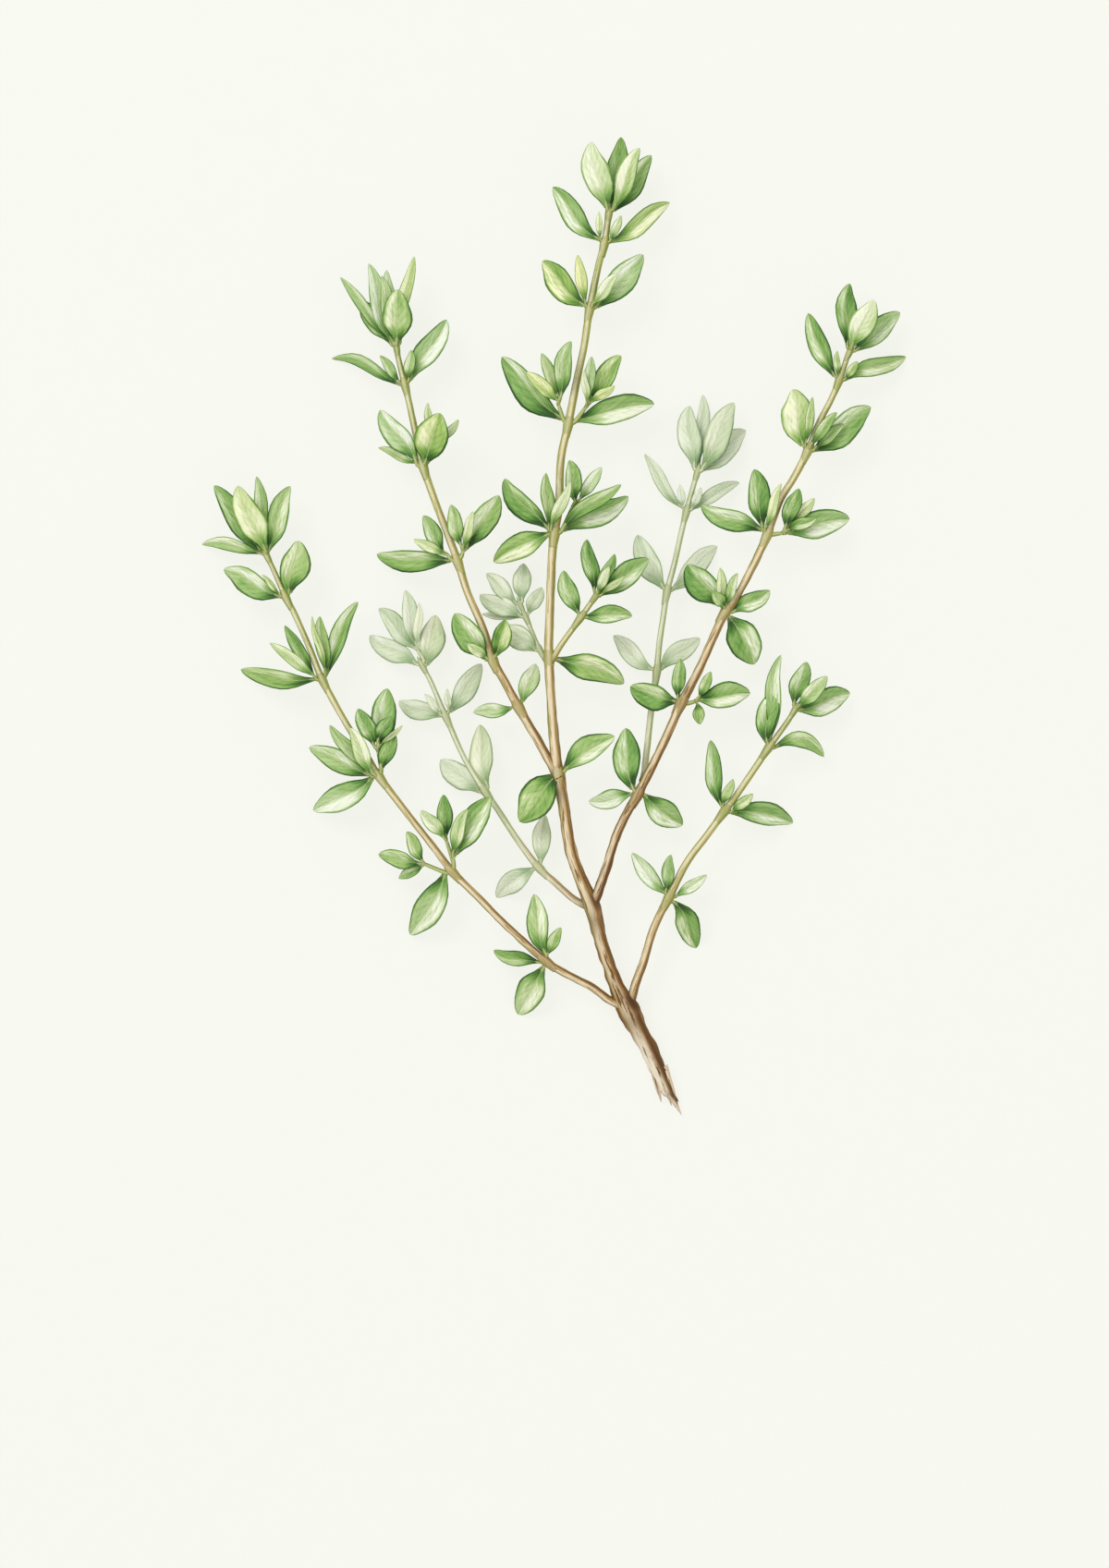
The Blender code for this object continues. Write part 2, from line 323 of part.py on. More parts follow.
            ((13.6, 13.3, 2.8), (9.8, 19.0, 1.0), 1.3, 0, 0.03, 0),
            ((13.6, 13.8, 3.3), (13.6, 15.6, 3.6), 0.8, 0, 0.00, 0),
            ((15.2, 13.6, 3.3), (15.9, 15.3, 3.5), 0.9, 0, 0.00, 0),
            ((15.1, 13.2, 2.8), (20.1, 15.9, 0.8), 1.4, 0, 0.03, 0))),
        ((15.5, 17.0), (), (
            ((15.2, 17.9, 3.0), (14.7, 24.2, 1.8), 2.4, 0, 0.03, 0),
            ((15.9, 18.5, 2.5), (16.1, 25.5, 0.0), 1.5, 0, 0.00, 0),
            ((16.1, 18.2, 3.1), (19.5, 24.5, 2.4), 2.6, 8, 0.00, 0),
            ((16.2, 17.6, 2.8), (20.8, 21.6, 0.0), 2.6, 0, 0.00, 0))),
    ),
    "small_right_stem": (
        ((2.8, 1.1), (), (
            ((2.4, 1.8, 6.7), (1.0, 6.2, 7.2), 1.9, -10, 0.05, 0),
            ((3.5, 1.2, 6.4), (8.4, 1.3, 5.0), 1.8, 0, 0.04, 0))),
        ((4.5, 3.5), (), (
            ((4.3, 4.4, 6.3), (3.5, 9.6, 5.8), 1.6, 0, 0.00, 0),
            ((5.0, 4.3, 6.6), (6.5, 8.0, 6.8), 1.2, 0, 0.00, 0),
            ((4.7, 4.2, 7.0), (5.9, 6.6, 8.2), 1.0, 0, 0.00, 0),
            ((5.3, 4.1, 6.0), (10.2, 7.5, 4.8), 2.4, 10, 0.00, 0),
            ((5.4, 3.9, 6.7), (7.5, 5.6, 7.4), 0.8, 0, 0.00, 0))),
    ),
    "small_left_stem": (
        ((-1.6, -2.3), (), (
            ((-2.2, -2.4, 4.4), (-5.4, 0.3, 3.0), 2.4, -8, 0.00, 0),)),
        ((-3.1, 1.2), (), (
            ((-3.8, 1.4, 3.3), (-8.1, 3.7, 1.6), 2.0, 0, 0.00, 0),
            ((-2.5, 1.6, 3.4), (-1.4, 4.5, 3.2), 1.5, 0, 0.00, 0),
            ((-3.8, 1.0, 2.9), (-7.9, 1.6, 0.8), 1.0, 0, 0.00, 0))),
        ((-3.7, 2.6), (), (
            ((-3.6, 3.4, 3.2), (-3.4, 7.1, 2.0), 1.9, 0, 0.00, 0),
            ((-4.3, 3.2, 3.1), (-7.4, 6.0, 1.6), 1.7, 0, 0.00, 0))),
    ),
}

# Stems that leave another stem inside one of its collars, and so cut that collar too
CUTS_TOO = {
    ("main_stem", 0): ("tall_left_stem",),
    ("main_stem", 1): ("small_right_stem", "small_left_stem"),
}

PALE_STEMS = ("pale_left_stem", "pale_right_stem", "small_left_stem")


def clear_scene():
    for obj in list(bpy.data.objects):
        bpy.data.objects.remove(obj, do_unlink=True)


def make_materials():
    materials = {}
    for name, (colour, roughness) in TISSUES.items():
        material = bpy.data.materials.new(name)
        material.use_nodes = True
        shader = material.node_tree.nodes["Principled BSDF"]
        shader.inputs["Base Color"].default_value = (*colour, 1.0)
        shader.inputs["Roughness"].default_value = roughness
        shader.inputs["Metallic"].default_value = 0.0
        material.diffuse_color = (*colour, 1.0)
        materials[name] = material
    return materials


def add_object(name, mesh):
    obj = bpy.data.objects.new(name, mesh)
    bpy.context.collection.objects.link(obj)
    return obj


def evaluated_mesh(obj):
    depsgraph = bpy.context.evaluated_depsgraph_get()
    return bpy.data.meshes.new_from_object(obj.evaluated_get(depsgraph))


def tube(name, route, margin=0.0):
    """A round tube with closed ends through (x, y, z, diameter) points, larger by the margin."""
    points = [Vector(row[:3]) for row in route]
    points[0] += (points[0] - points[1]).normalized() * margin
    points[-1] += (points[-1] - points[-2]).normalized() * margin
    curve = bpy.data.curves.new(name, "CURVE")
    curve.dimensions = "3D"
    curve.twist_mode = "Z_UP"
    curve.bevel_depth = MM
    curve.bevel_resolution = TUBE_RESOLUTION
    curve.use_fill_caps = True
    spline = curve.splines.new("POLY")
    spline.points.add(len(points) - 1)
    for target, point, row in zip(spline.points, points, route):
        target.co = (*(point * MM), 1.0)
        target.radius = row[3] / 2 + margin
    obj = add_object(name, curve)
    mesh = evaluated_mesh(obj)
    bpy.data.objects.remove(obj)
    bm = bmesh.new()
    bm.from_mesh(mesh)
    bmesh.ops.remove_doubles(bm, verts=bm.verts, dist=0.001 * MM)
    bmesh.ops.recalc_face_normals(bm, faces=bm.faces)
    bm.to_mesh(mesh)
    bm.free()
    return mesh


def boolean(obj, other_mesh, operation):
    """Join the other mesh to the object, or cut it away, and keep the result as the mesh."""
    other = add_object("tool", other_mesh)
    other.hide_render = True
    other.display_type = "WIRE"
    modifier = obj.modifiers.new("boolean", "BOOLEAN")
    modifier.solver = "EXACT"
    modifier.use_self = True
    modifier.operation = operation
    modifier.object = other
    mesh = evaluated_mesh(obj)
    obj.modifiers.clear()
    obj.data = mesh
    bpy.data.objects.remove(other)


def leaf_blank():
    """A straight leaf and stalk along X with a four-cornered section: edges at +-Y, rib at +-Z."""
    bm = bmesh.new()
    ring = bmesh.ops.create_circle(bm, cap_ends=True, segments=4, radius=1.0)["verts"]
    turn = Matrix.Rotation(math.radians(90), 3, "Y")
    bmesh.ops.rotate(bm, verts=ring, cent=(0, 0, 0), matrix=turn)
    bmesh.ops.translate(bm, verts=ring, vec=(LEAF_STATIONS[0][0], 0, 0))
    edges = [edge for edge in bm.edges]
    for place, width in LEAF_STATIONS[1:] + ((1.0, 0.0),):
        grown = bmesh.ops.extrude_edge_only(bm, edges=edges)["geom"]
        ring = [item for item in grown if isinstance(item, bmesh.types.BMVert)]
        edges = [item for item in grown if isinstance(item, bmesh.types.BMEdge)]
        for vert in ring:
            vert.co.x = place
            vert.co.y = math.copysign(width, vert.co.y) if abs(vert.co.y) > 0.01 else 0.0
    bmesh.ops.pointmerge(bm, verts=ring, merge_co=(1, 0, 0))
    bmesh.ops.recalc_face_normals(bm, faces=bm.faces)
    bmesh.ops.triangulate(bm, faces=bm.faces)
    mesh = bpy.data.meshes.new("leaf_blank")
    bm.to_mesh(mesh)
    bm.free()
    return mesh


def bend_leaf(verts, start, leave, leaf):
    """Lay a leaf blank's vertices along one leaf: stalk from its start to its foot, then blade."""
    foot, tip, width, roll, bow, _shoot = leaf
    foot = Vector(foot)
    tip = Vector(tip)
    length = (tip - foot).length
    sideways = Vector((foot.y - tip.y, tip.x - foot.x, 0)).normalized()

    def centre(place):
        if place <= -0.5:
            return start.lerp(leave, (place + 1) * 2)
        if place <= 0:
            return leave.lerp(foot, (place + 0.5) * 2)
        swell = 4 * place * (1 - place)
        lift = Vector((0, 0, LEAF_ARCH)) + sideways * bow
        return foot.lerp(tip, place) + lift * swell * length

    for vert in verts:
        place, across, up = vert.co
        middle = centre(place)
        along = (centre(min(place + 0.05, 1)) - centre(max(place - 0.05, -1))).normalized()
        side = Vector((-along.y, along.x, 0)).normalized()
        if place > 0:
            side.rotate(Matrix.Rotation(math.radians(roll), 3, along))
        top = along.cross(side)
        if place > 0:
            half = across * width / 2
            fold = math.radians(LEAF_FOLD)
            offset = side * half * math.cos(fold) + top * abs(half) * math.sin(fold)
            offset += top * up * RIB_HALF_THICKNESS if place < 1 else Vector()
        else:
            offset = (side * across + top * up) * STALK_RADIUS
        point = middle + offset
        point.z = max(point.z, 0.0)
        vert.co = point * MM


def leaving_point(node, along, radius, foot):
    """Where a stalk leaves its collar: straight out from the stem, towards the leaf's foot."""
    reach = foot - node
    out = reach - along * reach.dot(along)
    distance = radius + COLLAR_SWELL
    if reach.length < distance + 0.3:
        return node.lerp(foot, 0.6)
    return node + out.normalized() * distance + along * math.copysign(0.1, reach.dot(along))


def collar_route(node, along, radius, is_tip):
    """Points of the swollen ring round a stem, or of the bud on its end."""
    half = COLLAR_HALF_LENGTH
    swell = COLLAR_SWELL
    profile = [(-half, 0.13), (-half / 2, swell), (half / 2, swell), (half, 0.13)]
    if is_tip:
        profile = [(-half, 0.13), (-half / 2, swell), (0.3, swell), (BUD_LENGTH, -0.1)]
    return [(*(node + along * step), 2 * (radius + grow)) for step, grow in profile]


def make_stems(materials):
    for name, (parent, tissue, route) in STEMS.items():
        obj = add_object(name, tube(name, route))
        if parent:
            boolean(obj, tube("cutter", STEMS[parent][2], CLEARANCE), "DIFFERENCE")
        else:
            for splinter in SPLINTERS:
                boolean(obj, tube("splinter", splinter), "UNION")
        obj.data.materials.clear()
        obj.data.materials.append(materials[tissue])


def make_whorl(name, stem, number, blank, material):
    _parent, _tissue, route = STEMS[stem]
    place, shoots, leaves = WHORLS[stem][number]
    spot = min(range(len(route)), key=lambda i: math.dist(route[i][:2], place))
    is_tip = spot == len(route) - 1
    node = Vector(route[spot][:3])
    radius = route[spot][3] / 2
    after = Vector(route[min(spot + 1, len(route) - 1)][:3])
    along = (after - Vector(route[spot - 1][:3])).normalized()
    starts = [node]
    bm = bmesh.new()
    for shoot in shoots:
        shoot = Vector(shoot)
        leave = leaving_point(node, along, radius, shoot)
        size = 2 * TWIG_RADIUS
        bm.from_mesh(tube("shoot", ((*node, size), (*leave, size), (*shoot, size * 0.8))))
        starts.append(shoot)
    bmesh.ops.triangulate(bm, faces=bm.faces)
    for order, leaf in enumerate(leaves):
        start = starts[leaf[5]] + Vector((0, 0, STALK_STEP * order))
        foot = Vector(leaf[0])
        if leaf[5] == 0:
            leave = leaving_point(node, along, radius, foot)
        else:
            leave = start.lerp(foot, 0.5)
        known = len(bm.verts)
        bm.from_mesh(blank)
        bm.verts.ensure_lookup_table()
        bend_leaf(bm.verts[known:], start, leave, leaf)
    leafage = bpy.data.meshes.new("leafage")
    bm.to_mesh(leafage)
    bm.free()
    obj = add_object(name, tube(name, collar_route(node, along, radius, is_tip)))
    boolean(obj, leafage, "UNION")
    for cutting in (stem,) + CUTS_TOO.get((stem, number), ()):
        boolean(obj, tube("cutter", STEMS[cutting][2], CLEARANCE), "DIFFERENCE")
    obj.data.materials.clear()
    obj.data.materials.append(material)


def whorl_name(stem, number):
    base = stem.removesuffix("_stem")
    if number == len(WHORLS[stem]) - 1:
        return f"{base}_tip_leaves"
    return f"{base}_leaves_{number + 1}"


def make_whorls(materials):
    blank = leaf_blank()
    for stem, whorls in WHORLS.items():
        material = materials["pale_leaf" if stem in PALE_STEMS else "leaf"]
        for number in range(len(whorls)):
            make_whorl(whorl_name(stem, number), stem, number, blank, material)


def centre_on_origin():
    """Put the origin under the middle of the sprig, on the surface that it lies on."""
    meshes = [obj.data for obj in bpy.data.objects if obj.type == "MESH"]
    corners = [vert.co for mesh in meshes for vert in mesh.vertices]
    low = [min(co[axis] for co in corners) for axis in range(3)]
    high = [max(co[axis] for co in corners) for axis in range(3)]
    shift = Vector((-(low[0] + high[0]) / 2, -(low[1] + high[1]) / 2, -low[2]))
    for mesh in meshes:
        mesh.transform(Matrix.Translation(shift))
        mesh.shade_flat()


clear_scene()
all_materials = make_materials()
make_stems(all_materials)
make_whorls(all_materials)
centre_on_origin()
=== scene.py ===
"""Looks of the cut thyme sprig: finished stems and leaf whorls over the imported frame.

Every stem and every whorl of leaves is one finished piece that stands for its CAD node. The tables
are in millimetres, in the sprig's own plan, and are moved to the frame by the two outermost leaves.
"""

import json
import math
from collections import namedtuple

import bmesh
import bpy
import numpy as np
from mathutils import Matrix, Vector, noise

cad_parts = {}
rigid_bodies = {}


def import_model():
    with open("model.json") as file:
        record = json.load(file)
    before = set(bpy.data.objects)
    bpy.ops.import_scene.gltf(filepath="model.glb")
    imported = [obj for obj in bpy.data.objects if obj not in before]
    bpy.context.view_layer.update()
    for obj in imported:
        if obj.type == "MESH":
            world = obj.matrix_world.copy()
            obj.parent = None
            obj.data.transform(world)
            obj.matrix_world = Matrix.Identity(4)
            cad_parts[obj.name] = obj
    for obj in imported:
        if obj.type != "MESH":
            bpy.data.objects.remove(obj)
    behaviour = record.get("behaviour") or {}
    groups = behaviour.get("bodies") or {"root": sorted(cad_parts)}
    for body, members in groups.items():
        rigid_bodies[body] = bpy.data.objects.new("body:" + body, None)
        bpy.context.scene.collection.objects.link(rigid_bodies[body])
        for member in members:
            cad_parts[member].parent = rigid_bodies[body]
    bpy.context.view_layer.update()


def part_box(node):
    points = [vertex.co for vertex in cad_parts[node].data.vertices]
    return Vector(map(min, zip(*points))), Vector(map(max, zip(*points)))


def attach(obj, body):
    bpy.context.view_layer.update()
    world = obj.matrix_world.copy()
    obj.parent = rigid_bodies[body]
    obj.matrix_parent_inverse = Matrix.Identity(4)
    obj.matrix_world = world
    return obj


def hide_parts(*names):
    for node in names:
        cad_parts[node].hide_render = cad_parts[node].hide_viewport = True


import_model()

MM = 0.001

# The leaf tips that lie furthest right and furthest up in the plan, which tie it to the frame
RIGHT_TIP = 38.2
TOP_TIP = 53.2

# Stems: the route of each from its foot, as rows of x, y, z and diameter
STEMS = {
    "main_stem": (
        (12.2, -50.0, 1.0, 2.0), (10.8, -47.0, 1.15, 2.1), (9.3, -43.9, 1.45, 2.2),
        (8.0, -41.2, 1.9, 2.4), (6.5, -38.1, 2.5, 1.65), (5.2, -34.4, 3.3, 1.5),
        (4.0, -30.0, 4.1, 1.8), (2.7, -26.9, 4.5, 1.4), (1.7, -23.8, 4.8, 1.35),
        (1.0, -19.2, 5.1, 1.3), (0.4, -15.8, 5.3, 1.35), (-0.2, -10.1, 5.6, 1.1),
        (-0.6, -3.1, 5.8, 1.05), (-0.55, 0.6, 5.9, 1.0), (-0.3, 7.2, 6.0, 0.96),
        (0.0, 10.2, 6.1, 1.0), (0.5, 13.4, 6.1, 0.93), (0.7, 18.2, 6.2, 0.9),
        (1.5, 22.1, 6.2, 0.92), (2.45, 27.0, 6.2, 0.86), (3.2, 30.5, 6.1, 0.82),
        (3.8, 34.5, 6.0, 0.84), (4.8, 39.4, 5.8, 0.76), (5.4, 41.6, 5.7, 0.8),
        (5.9, 45.0, 5.6, 0.7)),
    "low_left_stem": (
        (8.0, -41.2, 1.9, 1.0), (6.0, -40.3, 2.3, 0.95), (4.0, -38.9, 2.6, 0.9),
        (0.5, -37.0, 3.2, 0.86), (-1.0, -36.0, 3.45, 0.9), (-5.1, -32.3, 4.1, 0.82),
        (-7.9, -29.5, 4.4, 0.82), (-11.1, -26.3, 4.7, 0.86), (-13.0, -23.8, 4.85, 0.8),
        (-15.9, -20.1, 4.95, 0.78), (-19.0, -16.0, 5.0, 0.84), (-20.5, -13.5, 5.0, 0.76),
        (-22.6, -10.2, 5.0, 0.74), (-25.1, -5.6, 5.0, 0.78), (-26.6, -1.9, 4.95, 0.7),
        (-28.1, 1.5, 4.9, 0.68), (-29.1, 3.4, 4.9, 0.7), (-30.3, 6.1, 4.85, 0.6),
        (-31.2, 8.0, 4.8, 0.56)),
    "low_right_stem": (
        (8.1, -41.0, 1.9, 1.05), (8.8, -38.5, 2.5, 1.0), (9.8, -35.6, 3.1, 0.95),
        (10.8, -32.4, 3.6, 0.9), (12.4, -29.1, 4.05, 0.94), (14.3, -25.4, 4.4, 0.84),
        (16.5, -22.4, 4.6, 0.82), (18.4, -19.8, 4.7, 0.86), (20.3, -17.2, 4.7, 0.76),
        (23.2, -12.9, 4.6, 0.78), (24.0, -11.8, 4.5, 0.68), (25.3, -10.0, 4.4, 0.62),
        (26.1, -8.7, 4.3, 0.56)),
    "tall_right_stem": (
        (4.0, -30.2, 4.1, 1.1), (4.9, -28.0, 4.35, 1.1), (6.9, -22.0, 5.0, 1.0),
        (9.0, -18.0, 5.45, 1.04), (10.5, -15.1, 5.6, 0.98), (11.7, -12.6, 5.7, 1.0),
        (13.7, -8.1, 5.8, 1.08), (15.6, -4.5, 5.9, 0.96), (17.3, -0.7, 5.9, 0.95),
        (18.5, 1.8, 5.9, 1.0), (19.8, 3.6, 5.9, 0.9), (21.6, 7.0, 5.85, 0.88),
        (23.0, 10.1, 5.8, 0.92), (24.4, 13.8, 5.65, 0.84), (25.9, 16.3, 5.5, 0.82),
        (27.4, 19.2, 5.4, 0.84), (28.6, 22.2, 5.2, 0.74), (29.9, 24.7, 5.1, 0.7),
        (30.8, 26.8, 5.0, 0.7), (31.6, 29.1, 4.9, 0.6), (32.0, 30.0, 4.8, 0.56)),
    "tall_left_stem": (
        (0.5, -16.2, 5.3, 1.05), (-1.5, -12.7, 5.4, 1.0), (-3.9, -8.5, 5.4, 1.02),
        (-5.4, -5.7, 5.4, 0.96), (-6.7, -3.4, 5.4, 1.0), (-7.7, -0.1, 5.4, 0.9),
        (-9.4, 3.8, 5.4, 0.86), (-10.5, 7.3, 5.4, 0.9), (-11.6, 10.3, 5.4, 0.84),
        (-12.8, 13.4, 5.3, 0.82), (-14.2, 17.5, 5.2, 0.86), (-15.0, 21.0, 5.0, 0.76),
        (-15.7, 24.3, 4.9, 0.72), (-16.2, 26.4, 4.8, 0.74), (-16.9, 29.3, 4.7, 0.62),
        (-17.1, 30.5, 4.6, 0.58)),
    "pale_left_stem": (
        (3.9, -30.1, 4.0, 0.9), (2.5, -29.6, 3.55, 0.86), (1.0, -28.4, 3.2, 0.84),
        (-1.7, -25.9, 3.0, 0.86), (-4.0, -22.9, 3.0, 0.78), (-6.1, -19.7, 3.0, 0.76),
        (-7.5, -17.7, 3.0, 0.8), (-9.8, -14.0, 3.0, 0.68), (-11.8, -9.5, 3.0, 0.7),
        (-13.4, -5.8, 3.0, 0.6), (-14.4, -3.9, 3.0, 0.58)),
    "pale_right_stem": (
        (9.65, -16.6, 5.4, 0.84), (9.8, -15.2, 3.9, 0.82), (10.0, -13.1, 3.2, 0.8),
        (10.6, -8.0, 3.0, 0.78), (11.1, -4.6, 3.0, 0.8), (11.35, -1.8, 3.0, 0.74),
        (11.8, 1.3, 3.0, 0.72), (12.2, 4.0, 3.0, 0.76), (13.0, 7.1, 3.0, 0.7),
        (14.3, 12.7, 3.0, 0.7), (15.5, 17.0, 3.0, 0.62)),
    "small_right_stem": (
        (-0.6, -4.0, 5.8, 0.66), (0.8, -1.7, 6.25, 0.66), (2.8, 1.1, 6.4, 0.66),
        (4.5, 3.5, 6.3, 0.56)),
    "small_left_stem": (
        (-0.6, -4.0, 5.8, 0.56), (-1.6, -2.3, 4.6, 0.54), (-3.1, 1.2, 3.4, 0.5),
        (-3.7, 2.6, 3.2, 0.46)),
}

# Whorls, from the base of each stem to its tip: node, (side shoots), (leaves).
# A side shoot is an (x, y, z) point beside the node, and its leaves start there.
# A leaf is its foot, tip and width, its roll in degrees, its sideways bow in hundredths of its length,
# the number of the side shoot that it starts on (0 for the stem itself), its fold in degrees, and then
# its colour in hundredths: its tone from dark to light, its lit side (which half gets painted light and
# the other painted shade, as on a fold lit from one side: left +, right -) and its youth, which yellows the
# green.
Leaf = namedtuple("Leaf", "foot tip width roll bow start fold tone lean youth")
WHORLS = {}
WHORLS["main_stem"] = (
    ((0.4, -15.8), (), (
        ((0.0, -16.0, 5.6), (-3.8, -20.9, 5.4), 3.6, 12, 0, 0, 22, 42, -40, 35),
        ((1.1, -14.9, 5.7), (6.5, -11.7, 6.0), 2.6, -15, 5, 0, 26, 60, -80, 20))),
    ((-0.6, -3.1), (), (
        ((1.0, -3.3, 5.6), (7.5, -6.0, 3.6), 2.7, 10, 5, 0, 24, 50, 60, 35),)),
    ((0.0, 10.2), ((2.0, 13.2, 6.5),), (
        ((-1.1, 12.0, 6.2), (-5.4, 16.2, 4.2), 2.3, -15, 5, 0, 34, 38, -60, 20),
        ((-1.1, 12.5, 6.9), (-0.9, 16.7, 8.0), 1.4, 20, 0, 0, 30, 50, 50, 30),
        ((-0.6, 11.8, 7.2), (1.7, 15.7, 8.8), 1.2, 0, 0, 0, 20, 76, 30, 30),
        ((-0.9, 10.2, 6.0), (-6.6, 7.2, 3.4), 2.6, 10, -4, 0, 24, 56, 70, 35),
        ((2.4, 14.0, 6.9), (1.6, 18.1, 7.8), 1.7, 10, 0, 1, 36, 48, 60, 15),
        ((3.2, 14.4, 6.4), (5.1, 17.4, 6.2), 1.3, 0, 0, 1, 30, 68, 50, 10),
        ((1.9, 11.8, 6.5), (7.2, 15.5, 6.8), 1.5, 0, 4, 0, 34, 46, 50, 20),
        ((1.6, 11.4, 5.8), (8.0, 14.3, 3.6), 2.5, 10, 0, 0, 26, 52, -70, 10))),
    ((1.5, 22.1), ((0.4, 24.2, 6.8), (3.4, 23.9, 6.4)), (
        ((0.2, 23.5, 6.2), (-5.7, 29.4, 4.4), 2.8, -15, 4, 0, 30, 42, -90, 5),
        ((0.4, 24.8, 7.2), (-3.1, 27.6, 7.6), 1.4, 0, 0, 1, 24, 68, -40, 70),
        ((0.5, 25.7, 7.0), (-1.4, 29.7, 7.0), 1.3, 10, 0, 1, 28, 56, 40, 30),
        ((0.9, 25.7, 7.4), (1.8, 30.9, 8.4), 1.8, 0, 5, 1, 30, 50, 50, 10),
        ((3.9, 24.9, 6.9), (4.0, 29.3, 7.4), 1.3, 0, 4, 2, 26, 62, 40, 0),
        ((4.4, 25.4, 6.2), (7.2, 29.5, 5.2), 2.0, -10, 0, 2, 32, 48, 50, 40),
        ((4.3, 24.7, 6.6), (6.5, 26.2, 7.0), 1.0, 0, 0, 2, 24, 70, 30, 70),
        ((3.5, 24.6, 7.2), (3.2, 27.8, 8.0), 0.8, 0, 0, 2, 20, 78, 30, 30),
        ((3.5, 23.1, 5.9), (10.8, 24.3, 3.7), 2.7, 12, 3, 0, 34, 60, -120, 15))),
    ((3.8, 34.5), (), (
        ((3.0, 35.1, 6.1), (-1.3, 39.8, 4.2), 2.6, -12, 3, 0, 32, 54, 70, 55),
        ((4.7, 35.1, 6.0), (9.6, 40.5, 4.0), 2.8, 10, 0, 0, 22, 62, 70, 0),
        ((3.1, 36.4, 6.7), (2.5, 40.3, 7.0), 1.2, 0, 0, 0, 26, 70, 30, 80),
        ((4.4, 36.0, 7.0), (6.9, 38.3, 7.6), 1.3, 0, 0, 0, 20, 78, 50, 25))),
    ((5.4, 41.6), (), (
        ((4.5, 42.3, 5.8), (-0.2, 47.9, 2.6), 2.2, -12, 4, 0, 32, 50, 90, 5),
        ((6.3, 41.9, 5.7), (12.5, 46.2, 2.4), 1.9, 10, 0, 0, 36, 62, -80, 45),
        ((4.7, 42.8, 6.2), (4.8, 45.0, 6.9), 0.7, 0, 0, 0, 20, 74, 30, 50),
        ((6.5, 42.5, 6.2), (7.2, 44.6, 6.6), 0.9, 0, 0, 0, 24, 64, 40, 30))),
    ((5.9, 45.0), (), (
        ((5.6, 46.0, 6.3), (4.0, 52.5, 6.8), 2.9, -10, 4, 0, 20, 75, 35, 20),
        ((6.1, 45.8, 5.4), (7.2, 53.2, 4.2), 2.2, 0, 0, 0, 26, 34, 20, 15),
        ((6.4, 45.6, 6.0), (9.2, 51.9, 6.2), 2.0, 0, 0, 0, 24, 68, 70, 30),
        ((6.5, 45.3, 5.2), (10.5, 51.3, 3.2), 2.2, 12, 0, 0, 26, 50, 50, 15))),
)
